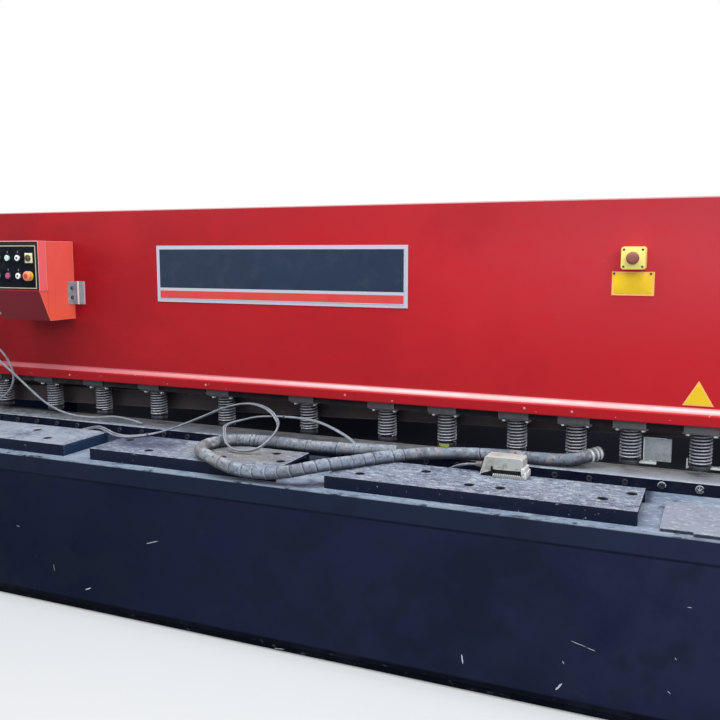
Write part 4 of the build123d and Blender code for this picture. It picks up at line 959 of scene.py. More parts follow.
hose = tube("hose_cover", hose_line, hose_radius_at, 40, "hose_wrap", marks={
    "seam": seam_mark, "lap": lap_mark, "along": lambda index, angle: index * hose_step,
})
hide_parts("hose")
right_way = (hose_line[8] - hose_line[0]).normalized()
left_way = (hose_line[-9] - hose_line[-1]).normalized()
ring_profile = [(0.0225, 0.0), (0.0262, 0.0015), (0.0262, 0.0085), (0.0225, 0.010)]
for ring_name, reach in (("hose_ring_outer", 0.004), ("hose_ring_middle", 0.020), ("hose_ring_inner", 0.042)):
    ring_origin = hose_line[0] + right_way * reach
    lathe(ring_name, ring_profile, ring_origin, right_way, "white_zinc")
nipple_profile = [
    (0.014, 0.0), (0.0165, 0.001), (0.0165, 0.006), (0.021, 0.007), (0.0235, 0.020), (0.0235, 0.030),
]
lathe("hose_nipple_right", nipple_profile, hose_line[0], right_way, "ring_steel")
lathe("hose_nipple_left", nipple_profile, hose_line[-1], left_way, "dark_bolt")

# Two cables from the control box
for cable_name, cable_route in (("cable_a", cable_a_route), ("cable_b", cable_b_route)):
    cable_line, cable_length = even_points(route_points(cable_name, cable_route), 0.005)
    cable = tube(cable_name + "_sheath", cable_line, lambda index, angle: cable_radius, 14, "cable_sheath")
    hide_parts(cable_name)

# Twin cable that winds over the table to the loose connector
twin_line, twin_length = even_points(route_points("cable_c", cable_c_route), 0.004)
twin_strand = 0.0039
tie_places = ((-0.560, -0.590), (0.040, -0.396))


def twin_offset(index, sign):
    """The two strands lie side by side and turn slowly about each other."""
    angle = 2.2 * noise.noise(Vector((index * 0.0052, 0.5, 0.1))) + 0.3
    reach = sign * 0.0043
    return reach * math.cos(angle), reach * math.sin(angle)


twin = joined("twin_cable", [
    tube(
        f"twin_strand_{number}", twin_line, lambda index, angle: twin_strand, 12, "cable_sheath",
        offset_at=lambda index, sign=sign: twin_offset(index, sign),
    )
    for number, sign in ((1, 1), (2, -1))
])
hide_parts("cable_c")
cable_gland = lathe(
    "connector_gland",
    [(0.0085, 0.0), (0.0120, 0.001), (0.0125, 0.008), (0.0095, 0.010), (0.0100, 0.016), (0.0088, 0.024),
     (0.0076, 0.027)],
    Vector(cable_c_route[-1]) + Vector((0.002, 0, 0)), (-1, 0, 0), "cap_brown",
)
tie_steps = []
for wanted_x, wanted_y in tie_places:
    tie_steps.append(min(
        range(4, len(twin_line) - 4),
        key=lambda step: (twin_line[step].x - wanted_x) ** 2 + (twin_line[step].y - wanted_y) ** 2,
    ))
for number, step in enumerate(tie_steps, 1):
    way = (twin_line[step + 2] - twin_line[step - 2]).normalized()
    lathe(
        f"cable_tie_{number}", [(0.0078, -0.004), (0.0092, -0.0032), (0.0092, 0.0032), (0.0078, 0.004)],
        twin_line[step], way, "tie_plastic", sides=24,
    )

# Loose connector: dirty hood with slanted shoulders, latch, contact block and stepped end
hood_low, hood_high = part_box("connector")
hood_high = hood_high + Vector((0.030, 0, 0.016))
hood_front_y = hood_low.y + 0.014
hood_outline = (
    (hood_low.x + 0.002, hood_low.z + 0.004), (hood_low.x + 0.022, hood_high.z - 0.004),
    (hood_low.x + 0.028, hood_high.z - 0.0005), (hood_high.x - 0.022, hood_high.z - 0.0005),
    (hood_high.x - 0.016, hood_high.z - 0.005), (hood_high.x - 0.014, hood_low.z + 0.032),
    (hood_high.x - 0.016, hood_low.z + 0.0295), (hood_low.x + 0.050, hood_low.z + 0.0275),
    (hood_low.x + 0.046, hood_low.z + 0.022), (hood_low.x + 0.006, hood_low.z + 0.008),
)
hood_x, hood_z = (sum(values) / len(hood_outline) for values in zip(*hood_outline))
hood_rings = []
for depth, shrink in (
    (hood_high.y - 0.002, 0.95), (hood_high.y - 0.006, 1.0), (hood_front_y + 0.004, 1.0),
    (hood_front_y, 0.96),
):
    hood_rings.append([
        Vector((hood_x + (x - hood_x) * shrink, depth, hood_z + (z - hood_z) * shrink))
        for x, z in hood_outline
    ])
hood = rings_object("connector_hood", hood_rings, "connector_beige", angle=30)
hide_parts("connector")
rounded_box(
    "connector_band", (hood_low.x + 0.008, hood_front_y + 0.006, hood_low.z + 0.0005),
    (hood_high.x - 0.018, hood_high.y - 0.012, hood_low.z + 0.032), "cap_black", 0.0015,
)
rounded_box(
    "connector_latch", (hood_low.x + 0.046, hood_front_y - 0.004, hood_low.z + 0.012),
    (hood_low.x + 0.053, hood_front_y + 0.006, hood_low.z + 0.040), "cap_black", 0.0012,
)
contact_low_x, contact_high_x = hood_low.x + 0.055, hood_high.x - 0.008
contact_ribs = [rounded_box(
    "connector_contacts", (contact_low_x, hood_low.y + 0.004, hood_low.z + 0.0005),
    (contact_high_x, hood_high.y - 0.03, hood_low.z + 0.012), "cap_brown", 0.001,
)]
rib_count = 16
for rib in range(rib_count):
    rib_x = contact_low_x + 0.003 + (contact_high_x - contact_low_x - 0.006) * rib / (rib_count - 1)
    contact_ribs.append(rounded_box(
        f"connector_rib_{rib:02d}", (rib_x - 0.0012, hood_low.y + 0.001, hood_low.z + 0.001),
        (rib_x + 0.0012, hood_low.y + 0.016, hood_low.z + 0.0135), "contact_white", 0.0005,
    ))
joined("connector_contacts", contact_ribs)
for step_name, step_x, step_z in (("upper", -0.0145, (0.016, 0.042)), ("lower", -0.009, (0.001, 0.026))):
    rounded_box(
        f"connector_step_{step_name}",
        (hood_high.x + step_x - 0.006, hood_low.y + 0.006, hood_low.z + step_z[0]),
        (hood_high.x + step_x + 0.0085, hood_high.y - 0.010, hood_low.z + step_z[1]), "contact_white", 0.003,
    )
for screw_x in (hood_low.x + 0.034, hood_high.x - 0.032):
    lathe(
        f"connector_screw_{round(screw_x * 1000)}",
        [(0.0036, 0.0), (0.0036, 0.0012), (0.0030, 0.0018), (0.0014, 0.0018), (0.0012, 0.0008)],
        (screw_x, hood_front_y + 0.0015, hood_high.z - 0.014), to_front, "ring_steel", sides=20,
    )

# Return springs: one coil with closed ends round each hold-down
spring_low, spring_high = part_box("hold_down_springs")
spring_turns = 9.4
closed_turns = 0.8
wire_radius = 0.0045
coil_radius = 0.0363
coil_steps = 28


def coil_height(turns):
    """Height along the spring, as a share: flat at both ends, even between them."""
    closed_rise = 2 * wire_radius / (spring_high.z - spring_low.z - 2 * wire_radius)
    if turns < closed_turns:
        return closed_rise * turns
    if turns > spring_turns - closed_turns:
        return 1 - closed_rise * (spring_turns - turns)
    share = (turns - closed_turns) / (spring_turns - 2 * closed_turns)
    start = closed_rise * closed_turns
    return start + (1 - 2 * start) * share


for index, spring_x in enumerate(hold_down_x, 1):
    coil = []
    steps = int(spring_turns * coil_steps)
    for step in range(steps + 1):
        turns = spring_turns * step / steps
        angle = 2 * math.pi * turns + 1.7 * index
        height = (spring_high.z - spring_low.z - 2 * wire_radius) * coil_height(turns)
        coil.append(Vector((
            spring_x + coil_radius * math.cos(angle),
            hold_down_y + coil_radius * math.sin(angle),
            spring_low.z + wire_radius + height,
        )))
    spring = tube(
        f"spring_{index:02d}", coil, lambda step, angle: wire_radius, 12, "spring_steel", body=None
    )
    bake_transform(spring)
    if index == 1:
        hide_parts("hold_down_springs")

# Faces of the hold-down housings on the front of their beam
beam_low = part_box("hold_down_beam")[0]
joined("housing_faces", [
    rounded_box(
        f"housing_face_{index:02d}", (face_x - 0.060, beam_low.y - 0.0055, beam_low.z - 0.0005),
        (face_x + 0.060, beam_low.y + 0.0005, beam_low.z + 0.030), "housing_paint", 0.002,
    )
    for index, face_x in enumerate(hold_down_x, 1)
])

# Hold-down feet: turned discs under dark rods; the last two carry a lug
foot_low_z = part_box("hold_down_piston_01")[0].z
foot_profile = [
    (0.0335, 0.0), (0.0375, 0.0012), (0.0390, 0.0038), (0.0390, 0.0150), (0.0378, 0.0180), (0.0355, 0.0190),
    (0.0250, 0.0192), (0.0248, 0.1495),
]
for index, foot_x in enumerate(hold_down_x, 1):
    body_name = f"hold_down_{index:02d}"
    foot = lathe(
        f"foot_{index:02d}", foot_profile, (foot_x, hold_down_y, foot_low_z), to_top, "foot_steel",
        body_name, 56,
    )
    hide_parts(f"hold_down_piston_{index:02d}")
    if index > 10:
        lug_low_z = foot_low_z + 0.0055
        rounded_box(
            f"foot_lug_{index:02d}", (foot_x + 0.034, hold_down_y - 0.015, lug_low_z),
            (foot_x + 0.0965, hold_down_y + 0.015, lug_low_z + 0.008), "white_zinc", 0.0025, body_name,
        )
        lathe(
            f"foot_lug_bolt_{index:02d}",
            [(0.0085, 0.0), (0.0085, 0.004), (0.0075, 0.005), (0.004, 0.005), (0.0035, 0.0025)],
            (foot_x + 0.074, hold_down_y, lug_low_z + 0.0078), to_top, "white_zinc", body_name, 6,
        )

# Upright plate on the lug of the eleventh hold-down, and a bent pin beside the twelfth
upright_low_x, upright_high_x = hold_down_x[10] + 0.047, hold_down_x[10] + 0.148
pin_x = hold_down_x[11]
small_pieces = (
    ("lug_upright", (upright_low_x, 0.0125, 0.0135), (upright_high_x, 0.0150, 0.104),
     "pale_plate", 0.0009, 11),
    ("lug_upright_edge", (upright_low_x - 0.001, 0.0105, 0.0135), (upright_low_x + 0.004, 0.0150, 0.105),
     "white_zinc", 0.0009, 11),
    ("lug_upright_top", (upright_low_x, 0.0105, 0.1015), (upright_high_x - 0.018, 0.0150, 0.105),
     "white_zinc", 0.0009, 11),
    ("lug_upright_foot", (upright_low_x - 0.001, -0.013, 0.0133), (upright_low_x + 0.048, 0.0130, 0.0155),
     "white_zinc", 0.0009, 11),
    ("foot_pin", (pin_x - 0.049, -0.006, 0.001), (pin_x - 0.042, 0.002, 0.040), "white_zinc", 0.002, 12),
    ("foot_pin_bridge", (pin_x - 0.043, -0.005, 0.004), (pin_x - 0.034, 0.001, 0.010),
     "white_zinc", 0.001, 12),
)
made = []
for piece_name, (low_x, low_y, low_z), (high_x, high_y, high_z), finish_name, bevel, number in small_pieces:
    made.append(rounded_box(
        piece_name, (low_x, hold_down_y + low_y, foot_low_z + low_z),
        (high_x, hold_down_y + high_y, foot_low_z + high_z), finish_name, bevel, f"hold_down_{number:02d}",
    ))
joined("lug_upright_edges", made[1:4])

# Closed end of the first table plate
table_low, table_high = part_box("table_plate_left")
rounded_box(
    "table_plate_end", (table_high.x - 0.004, table_low.y + 0.006, table_low.z + 0.0005),
    (table_high.x - 0.0005, table_high.y - 0.006, table_high.z - 0.0058), "end_blue", 0.0008,
)

# Scrap of tape stuck to the eighth foot
tape_rings = []
for tape_radius, tape_low, tape_high in ((0.0392, 0.004, 0.016), (0.0400, 0.0035, 0.0168)):
    for height in (tape_low, tape_high):
        ring = []
        for step in range(13):
            angle = math.radians(-128 + 5.6 * step)
            lift = 0.0012 * math.sin(step * 1.9) + height
            ring.append(Vector((
                hold_down_x[7] + tape_radius * math.cos(angle), hold_down_y + tape_radius * math.sin(angle),
                foot_low_z + lift,
            )))
        tape_rings.append(ring)
tape_loop = [
    tape_rings[0] + list(reversed(tape_rings[2])),
    tape_rings[1] + list(reversed(tape_rings[3])),
]
rings_object("foot_tape", tape_loop, "tape_green", "hold_down_08")

# Countersunk rims of the holes in the table plates, drawn black as painted shade, and a black disc of painted
# shade for a small hole in the right end block
table_holes = (
    (-1.123, -0.675), (-0.954, -0.788), (-0.588, -0.674), (-0.386, -0.805), (-0.043, -0.778), (0.134, -0.640),
    (0.211, -0.747), (0.575, -0.792), (0.793, -0.664), (0.995, -0.778), (1.107, -0.774), (1.457, -0.763),
    (1.542, -0.664),
)
rim_profile = [(0.0190, -0.0004), (0.0190, 0.0002), (0.0185, 0.0005), (0.0128, 0.0003), (0.0118, -0.004)]
rims = [
    lathe(
        f"hole_rim_{number}", rim_profile, (hole_x, hole_y, table_high.z), to_top, "cap_black", capped=False,
    )
    for number, (hole_x, hole_y) in enumerate(table_holes, 1)
]
joined("hole_rims", rims)
lathe(
    "block_hole", [(0.0075, -0.0005), (0.0075, 0.0003), (0.0068, 0.0005), (0.0030, 0.0004)],
    (1.700, -0.900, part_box("bed_top_plate")[1].z), to_top, "cap_black", sides=24,
)

# Screws of the lower blade holder: dark socket heads, two of them with painted highlights as bright arcs on
# their rims, one also with bright lines across its socket
bolt_low, bolt_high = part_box("lower_blade_bolts")
bolt_centre_z = (bolt_low.z + bolt_high.z) / 2
bolt_count = 30
bolt_heads = []
head_profile = [
    (0.0105, 0.0), (0.0118, 0.0008), (0.0118, 0.0070), (0.0108, 0.0086), (0.0068, 0.0088), (0.0062, 0.0080),
    (0.0060, 0.0035),
]
for number in range(bolt_count):
    bolt_x = 0.13 * (number - (bolt_count - 1) / 2)
    bolt_heads.append(lathe(
        f"holder_bolt_{number:02d}", head_profile, (bolt_x, bolt_high.y, bolt_centre_z), to_front,
        "dark_bolt", sides=24,
    ))
holder_bolts = joined("holder_bolts", bolt_heads)
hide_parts("lower_blade_bolts")
highlight_arcs = (("holder_ring_a", 1.625, -20, 215), ("holder_ring_b", 1.755, 20, 320))
ring_reach = 0.0135
for ring_name, ring_x, start, sweep in highlight_arcs:
    steps = 30
    arc = []
    for step in range(steps + 1):
        angle = math.radians(start + sweep * step / steps)
        arc.append(Vector((
            ring_x + ring_reach * math.cos(angle), bolt_high.y - 0.0016,
            bolt_centre_z + ring_reach * math.sin(angle),
        )))
    tube(ring_name, arc, lambda step, angle: 0.0019, 8, "ring_steel")
# Painted highlight: bright lines across the socket of one screw
star = []
for ray in range(3):
    angle = math.radians(35 + 60 * ray)
    way = Vector((math.cos(angle), 0, math.sin(angle)))
    middle = Vector((1.755, bolt_high.y - 0.0088, bolt_centre_z))
    line = [middle - way * 0.0105, middle - way * 0.004, middle + way * 0.004, middle + way * 0.0105]
    star.append(tube(f"holder_star_{ray}", line, lambda step, angle: 0.0011, 8, "ring_steel"))
joined("holder_star", star)


# Control panel: black plate, pale border, round bezels, key switch and buttons
def pan_screw(name, place, way, radius, finish_name, body="frame"):
    """A small domed screw head with a recess."""
    profile = [
        (0.95 * radius, 0.0), (radius, 0.12 * radius), (0.9 * radius, 0.42 * radius),
        (0.45 * radius, 0.55 * radius), (0.38 * radius, 0.30 * radius),
    ]
    return lathe(name, profile, place, way, finish_name, body, 24)


panel_low, panel_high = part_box("control_panel")
button_places = (
    (-1.227, 1.500, "button_white"), (-1.290, 1.500, "button_mint"), (-1.353, 1.500, "button_green"),
    (-1.227, 1.417, "button_white"), (-1.290, 1.417, "button_purple"), (-1.353, 1.417, "button_grey"),
)
key_x, key_z = -1.164, 1.500
stop_x, stop_z = -1.164, 1.417
panel_centre = ((panel_low.x + panel_high.x) / 2, (panel_low.z + panel_high.z) / 2)
panel_size = (panel_high.x - panel_low.x, panel_high.z - panel_low.z)
panel_face_y = panel_high.y - 0.002
panel = front_slab(
    "panel_plate", panel_centre, panel_size, panel_high.y, panel_face_y, 0.002, 0.0006, "panel_black"
)
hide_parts("control_panel")
border_width = 0.0045
border_rings = []
for depth, inset in ((panel_face_y + 0.0005, 0.0), (panel_face_y - 0.0008, 0.0003),
                     (panel_face_y - 0.0008, border_width), (panel_face_y + 0.0005, border_width + 0.0003)):
    outline = rounded_outline(panel_size[0], panel_size[1], 0.003, inset)
    border_rings.append([Vector((panel_centre[0] + x, depth, panel_centre[1] + z)) for x, z in outline])
border = rings_object("panel_border", border_rings, "panel_border", capped=False)
border_shape = bmesh.new()
border_shape.from_mesh(border.data)
border_shape.verts.ensure_lookup_table()
ring_length = len(border_rings[0])
for side in range(ring_length):
    following = (side + 1) % ring_length
    last = 3 * ring_length
    corners = (side, last + side, last + following, following)
    border_shape.faces.new([border_shape.verts[corner] for corner in corners])
bmesh.ops.recalc_face_normals(border_shape, faces=border_shape.faces)
border_shape.to_mesh(border.data)
border_shape.free()
for polygon in border.data.polygons:
    polygon.use_smooth = False

bezel_profile = [
    (0.0178, 0.0), (0.0178, 0.0022), (0.0165, 0.0038), (0.0140, 0.0040), (0.0128, 0.0030), (0.0126, 0.0),
]
cap_profile = [
    (0.0100, -0.013), (0.0100, 0.0), (0.0136, 0.0002), (0.0140, 0.0012), (0.0140, 0.0030), (0.0128, 0.0044),
    (0.0085, 0.0050), (0.0030, 0.0052),
]
for index, (button_x, button_z, cap_finish) in enumerate(button_places, 1):
    body_name = f"push_button_{index}_body"
    lathe(
        f"bezel_{index}", bezel_profile, (button_x, panel_face_y, button_z), to_front, "cap_black", sides=36,
    )
    cap = lathe(
        f"button_cap_{index}", cap_profile, (button_x, panel_low.y - 0.004, button_z), to_front, cap_finish,
        body_name, 36,
    )
    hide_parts(f"push_button_{index}")
    if cap_finish == "button_white":
        lathe(
            f"button_eye_{index}", [(0.0052, -0.001), (0.0052, 0.0056), (0.0044, 0.0060), (0.0015, 0.0061)],
            (button_x, panel_low.y - 0.004, button_z), to_front, "cap_black", body_name, 24,
        )
    front_slab(
        f"label_{index}", (button_x - 0.004, button_z + 0.0275), (0.0055, 0.0105), panel_face_y,
        panel_face_y - 0.0006, 0.001, 0.0002, "label_grey",
    )
front_slab(
    "key_plate", (key_x, key_z), (0.044, 0.046), panel_face_y, panel_low.y, 0.002, 0.0012, "key_cream"
)
front_slab(
    "stop_plate", (stop_x, stop_z), (0.044, 0.044), panel_face_y, panel_low.y, 0.021, 0.0012, "marker_yellow"
)
knob = [
    lathe(
        "key_knob",
        [(0.0085, -0.012), (0.0085, 0.0), (0.0150, 0.0003), (0.0150, 0.0050), (0.0135, 0.0075),
         (0.0100, 0.0080), (0.0092, 0.0066), (0.0088, 0.0066)],
        (key_x, panel_low.y - 0.0003, key_z), to_front, "key_olive", "key_switch_body", 40,
    ),
    lathe(
        "key_barrel", [(0.0080, 0.004), (0.0080, 0.0080), (0.0070, 0.0090)],
        (key_x, panel_low.y - 0.0003, key_z), to_front, "brass", "key_switch_body", 32,
    ),
    rounded_box(
        "key_lever", (key_x - 0.0032, panel_low.y - 0.0172, key_z - 0.0125),
        (key_x + 0.0032, panel_low.y - 0.0080, key_z + 0.0125), "key_olive", 0.0016, "key_switch_body",
    ),
]
key = joined("key_knob", knob)
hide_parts("key_switch")


def mushroom(name, node, place_x, place_z, rim_finish, top_finish, body_name):
    """A round stop button: a broad domed head on its stem, with a flatter middle."""
    low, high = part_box(node)
    head_back_y, head_front_y = low.y + 0.016, low.y
    depth = head_back_y - head_front_y
    head = lathe(
        name,
        [(0.0100, -(high.y - head_back_y)), (0.0100, 0.0), (0.0205, 0.0004), (0.0226, 0.0022),
         (0.0230, 0.30 * depth), (0.0222, 0.56 * depth), (0.0190, 0.82 * depth), (0.0130, 0.95 * depth),
         (0.0125, 0.93 * depth)],
        (place_x, head_back_y, place_z), to_front, rim_finish, body_name, 48,
    )
    top = lathe(
        name + "_top",
        [(0.0124, 0.6 * depth), (0.0124, 0.95 * depth), (0.0105, 0.99 * depth), (0.0040, 0.998 * depth)],
        (place_x, head_back_y, place_z), to_front, top_finish, body_name, 40,
    )
    button = joined(name, [head, top])
    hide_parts(node)
    return button


mushroom("panel_stop_head", "panel_stop_button", stop_x, stop_z, "stop_peach", "stop_red", "panel_stop")

# Stop button box on the front plate, with its cover screws
box_low, box_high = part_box("stop_box")
stop_centre = ((box_low.x + box_high.x) / 2, (box_low.z + box_high.z) / 2)
stop_size = (box_high.x - box_low.x, box_high.z - box_low.z)
stop_face_y = box_low.y + 0.004
stop_case = front_slab(
    "stop_case", stop_centre, stop_size, box_high.y, stop_face_y + 0.012, 0.010, 0.0006, "box_yellow"
)
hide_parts("stop_box")
front_slab(
    "stop_cover", stop_centre, (stop_size[0] - 0.0012, stop_size[1] - 0.0012), stop_face_y + 0.0112,
    stop_face_y, 0.010, 0.0034, "box_yellow",
)
lathe(
    "stop_collar", [(0.0205, 0.0), (0.0205, 0.0028), (0.0192, 0.0040), (0.0130, 0.0040), (0.0125, 0.0)],
    (stop_centre[0], stop_face_y, stop_centre[1]), to_front, "box_yellow", sides=48,
)
mushroom(
    "wall_stop_head", "wall_stop_button", stop_centre[0], stop_centre[1], "stop_brown", "stop_brown",
    "wall_stop",
)
for number, (sign_x, sign_z) in enumerate(((-1, 1), (1, 1), (-1, -1), (1, -1)), 1):
    pan_screw(
        f"stop_screw_{number}",
        (stop_centre[0] + sign_x * 0.0325, stop_face_y + 0.0006, stop_centre[1] + sign_z * 0.0305), to_front,
        0.0042, "dark_bolt",
    )

# Plain faces on the two marker plates, with screws on the upper one
marker_face_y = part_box("marker_plates")[0].y
front_slab(
    "info_face", (1.492, 1.413), (0.136, 0.074), marker_face_y + 0.0004, marker_face_y - 0.0005,
    0.007, 0.0003, "marker_yellow",
)
for number, screw_x in enumerate((1.4245, 1.5535), 1):
    pan_screw(f"info_screw_{number}", (screw_x, marker_face_y, 1.4495), to_front, 0.0045, "key_olive")
triangle = [(1.733, 1.0585), (1.6865, 0.9815), (1.7795, 0.9815)]
triangle_rings = [
    [Vector((x, marker_face_y + 0.0004, z)) for x, z in triangle],
    [Vector((x, marker_face_y - 0.0005, z)) for x, z in triangle],
]
rings_object("triangle_face", triangle_rings, "marker_yellow")

# Screws in the lip of the front plate and in the angle bracket
for number, screw_x in enumerate((-1.151, -0.355, 0.344, 1.109, 1.291), 1):
    pan_screw(f"lip_screw_{number}", (screw_x, lip_face_y + 0.0004, 0.925), to_front, 0.0050, "lip_screw")
bracket_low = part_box("angle_bracket")[0]
for number, screw_z in enumerate((1.3085, 1.3545), 1):
    pan_screw(
        f"bracket_screw_{number}", (bracket_low.x + 0.003, -0.423, screw_z), (1, 0, 0), 0.0098, "foot_steel"
    )

# Scratches in the paint of the wall: the two ends of each, as X and Z
scratches = (
    ((-1.0137, 0.3307), (-0.9965, 0.3285)), ((-0.3120, 0.3482), (-0.2543, 0.3661)),
    ((-0.8119, 0.1829), (-0.8080, 0.1541)), ((-0.6405, 0.0974), (-0.6102, 0.1095)),
    ((0.2757, 0.0127), (0.3194, 0.0164)), ((1.0228, 0.1358), (1.0277, 0.1018)),
    ((1.3942, 0.2567), (1.4428, 0.2453)), ((1.4461, 0.2439), (1.4734, 0.2362)),
    ((1.3489, 0.0754), (1.3696, 0.1029)), ((1.3691, 0.1820), (1.3734, 0.1716)),
    ((1.7442, 0.4341), (1.7572, 0.4344)), ((1.6983, 0.1482), (1.7076, 0.1401)),
    ((1.7155, 0.2621), (1.7202, 0.2557)),
)
scratch_widths = (
    0.0012, 0.0021, 0.0011, 0.0034, 0.0014, 0.0034, 0.0011, 0.0012, 0.0042, 0.0014, 0.0012, 0.0012, 0.0014,
)
wall_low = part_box("bed_front_wall")[0]
scratch_pieces = []
for number, (ends, width) in enumerate(zip(scratches, scratch_widths)):
    first, last = (Vector((x, wall_low.y, z)) for x, z in ends)
    way = (last - first).normalized()
    across = Vector((-way.z, 0, way.x))
    rings = []
    for depth in (0.0003, -0.0003):
        ring = []
        for share, half in ((0.0, 0.15), (0.2, 0.8), (0.45, 0.5), (0.7, 0.9), (1.0, 0.15)):
            ring.append(first.lerp(last, share) + across * half * width + Vector((0, depth, 0)))
        for share, half in ((1.0, 0.15), (0.75, 0.6), (0.4, 0.9), (0.15, 0.6), (0.0, 0.15)):
            ring.append(first.lerp(last, share) - across * half * width + Vector((0, depth, 0)))
        rings.append(ring)
    scratch_pieces.append(rings_object(f"scratch_{number}", rings, "scratch_grey"))
joined("wall_scratches", scratch_pieces)

# Motor: ribs round its body, a fan cowl and a terminal box; tank: cap and level glass
motor_x = (0.62, 0.96)
motor_z = tie_top_z + 0.018 + 0.100
fin_count = 30
fin_rings = []
for fin_x, reach in ((motor_x[0] + 0.045, 0.100), (motor_x[0] + 0.050, 0.107), (motor_x[1] - 0.095, 0.107),
                     (motor_x[1] - 0.090, 0.100)):
    ring = []
    for fin in range(fin_count):
        for share, radius in ((0.0, 0.0995), (0.30, 0.0995), (0.38, reach), (0.62, reach), (0.70, 0.0995)):
            angle = 2 * math.pi * (fin + share) / fin_count
            ring.append(Vector((
                fin_x, tie_centre_y + radius * math.cos(angle), motor_z + radius * math.sin(angle),
            )))
    fin_rings.append(ring)
rings_object("motor_fins", fin_rings, "navy_paint")
lathe(
    "motor_cowl",
    [(0.0990, 0.0), (0.1045, 0.001), (0.1045, 0.052), (0.1000, 0.060), (0.0900, 0.0625), (0.0890, 0.0600),
     (0.0300, 0.0600), (0.0290, 0.0625)],
    (motor_x[1] - 0.065, tie_centre_y, motor_z), (1, 0, 0), "navy_paint", sides=64,
)
lathe(
    "motor_flange", [(0.0700, 0.0), (0.1040, 0.001), (0.1040, 0.012), (0.1000, 0.016)],
    (motor_x[0] - 0.002, tie_centre_y, motor_z), (1, 0, 0), "navy_paint", sides=64,
)
rounded_box(
    "motor_terminal_box", (motor_x[0] + 0.11, tie_centre_y - 0.045, motor_z + 0.085),
    (motor_x[0] + 0.20, tie_centre_y + 0.045, motor_z + 0.135), "navy_paint", 0.006,
)
tank_top_z = tie_top_z + 0.340
lathe(
    "tank_cap",
    [(0.0360, 0.0), (0.0385, 0.001), (0.0385, 0.006), (0.0362, 0.007), (0.0362, 0.034), (0.0345, 0.0405),
     (0.0200, 0.0410), (0.0190, 0.0400)],
    (-0.325, 0.46, tank_top_z), to_top, "cap_black", sides=48,
)
rounded_box(
    "tank_level_plate", (-0.52, 0.529, tie_top_z + 0.09), (-0.48, 0.5345, tie_top_z + 0.25),
    "bright_steel", 0.0015,
)
rounded_box(
    "tank_level_glass", (-0.509, 0.5335, tie_top_z + 0.105), (-0.491, 0.5375, tie_top_z + 0.235),
    "key_olive", 0.0015,
)
for number, (corner_x, corner_y) in enumerate(((-0.62, 0.14), (0.47, 0.14), (-0.62, 0.50), (0.47, 0.50)), 1):
    pan_screw(f"tank_screw_{number}", (corner_x, corner_y, tank_top_z), to_top, 0.009, "zinc_steel")


# Backdrop: a pale floor, a soft sky and a background that stays white
def add_node(tree, kind, *sources, **settings):
    """A node with its settings, whose first inputs are linked to the sources."""
    node = tree.nodes.new("ShaderNode" + kind)
    for setting, value in settings.items():
        setattr(node, setting, value)
    for place, source in enumerate(sources):
        tree.links.new(source, node.inputs[place])
    return node


def seen_rays(tree):
    """An output that is 1 for the rays that show the background, and 0 for those that light the object."""
    rays = add_node(tree, "LightPath").outputs
    direct = add_node(tree, "Math", rays["Is Camera Ray"], rays["Is Transmission Ray"], operation="MAXIMUM")
    either = add_node(tree, "Math", direct.outputs[0], rays["Is Glossy Ray"], operation="MAXIMUM")
    return either.outputs[0]


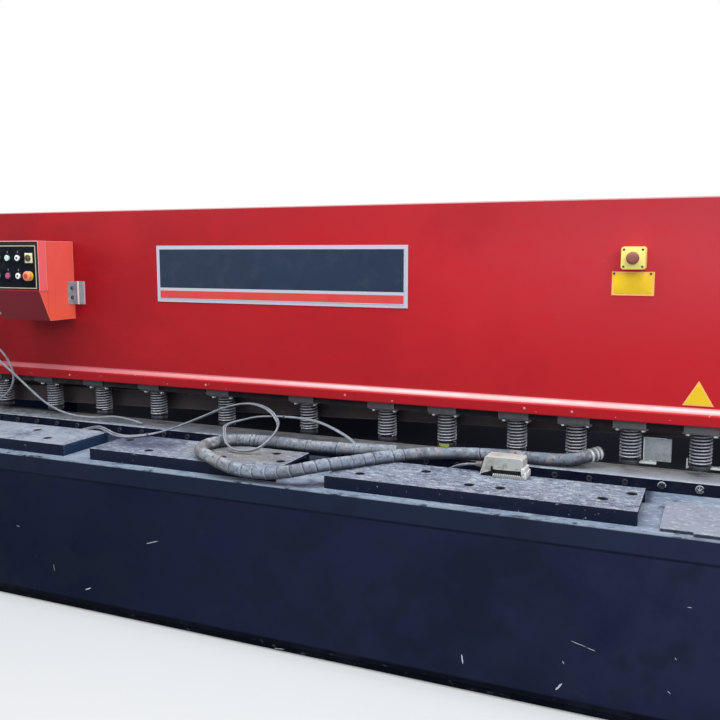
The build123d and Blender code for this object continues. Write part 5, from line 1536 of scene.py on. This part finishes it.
# Plain floor, which fades to the white background far from the machine
floor_fade = (3.8, 9.0)
floor_mesh = mesh_from(
    "floor", [(-30, -30, 0), (30, -30, 0), (30, 60, 0), (-30, 60, 0)], [(0, 1, 2, 3)]
)
floor = bpy.data.objects.new("floor", floor_mesh)
bpy.context.scene.collection.objects.link(floor)
floor_material = bpy.data.materials.new("floor")
floor_material.use_nodes = True
floor_mesh.materials.append(floor_material)
floor_tree = floor_material.node_tree
floor_shader = floor_tree.nodes["Principled BSDF"]
floor_shader.inputs["Base Color"].default_value = (0.60, 0.61, 0.62, 1)
floor_shader.inputs["Roughness"].default_value = 0.85
floor_shader.inputs["Specular IOR Level"].default_value = 0.1
floor_point = add_node(floor_tree, "NewGeometry")
floor_reach = add_node(floor_tree, "VectorMath", floor_point.outputs["Position"], operation="LENGTH")
fade = add_node(floor_tree, "MapRange", floor_reach.outputs["Value"], interpolation_type="SMOOTHSTEP")
fade.inputs["From Min"].default_value, fade.inputs["From Max"].default_value = floor_fade
fade_share = add_node(
    floor_tree, "Math", fade.outputs["Result"], seen_rays(floor_tree), operation="MULTIPLY"
)
white = add_node(floor_tree, "Emission")
floor_mix = add_node(
    floor_tree, "MixShader", fade_share.outputs[0], floor_shader.outputs[0], white.outputs[0]
)
floor_tree.links.new(floor_mix.outputs[0], floor_tree.nodes["Material Output"].inputs["Surface"])

world = bpy.data.worlds.new("world")
bpy.context.scene.world = world
world.use_nodes = True
world_tree = world.node_tree
background = world_tree.nodes["Background"]
background.inputs["Color"].default_value = (0.94, 0.97, 1.0, 1)
background.inputs["Strength"].default_value = 0.30
seen = add_node(world_tree, "Background")
seen.inputs["Color"].default_value = (1, 1, 1, 1)
seen.inputs["Strength"].default_value = 1.0
chosen = add_node(
    world_tree, "MixShader", seen_rays(world_tree), background.outputs[0], seen.outputs[0]
)
world_tree.links.new(chosen.outputs[0], world_tree.nodes["World Output"].inputs["Surface"])


def area_light(name, place, target, size, power, colour=(1, 1, 1)):
    data = bpy.data.lights.new(name, "AREA")
    data.shape = "RECTANGLE"
    data.size, data.size_y = size
    data.energy = power
    data.color = colour
    light = bpy.data.objects.new(name, data)
    light.location = place
    way = Vector(target) - Vector(place)
    light.rotation_euler = way.to_track_quat("-Z", "Y").to_euler()
    bpy.context.scene.collection.objects.link(light)


area_light("overhead", (0.5, -1.7, 5.2), (0.3, -0.5, 0.8), (7, 3), 330, (0.97, 0.985, 1.0))
area_light("front_right", (4.5, -4.5, 3.6), (0.6, -0.4, 1.1), (3, 2), 150)
area_light("front_left", (-3.8, -4.2, 3.2), (-0.4, -0.4, 1.0), (3, 2), 60)
area_light("rear", (0.5, 4.5, 4.0), (0.0, 0.4, 1.0), (5, 2), 110)

bpy.context.scene.view_settings.view_transform = "Standard"
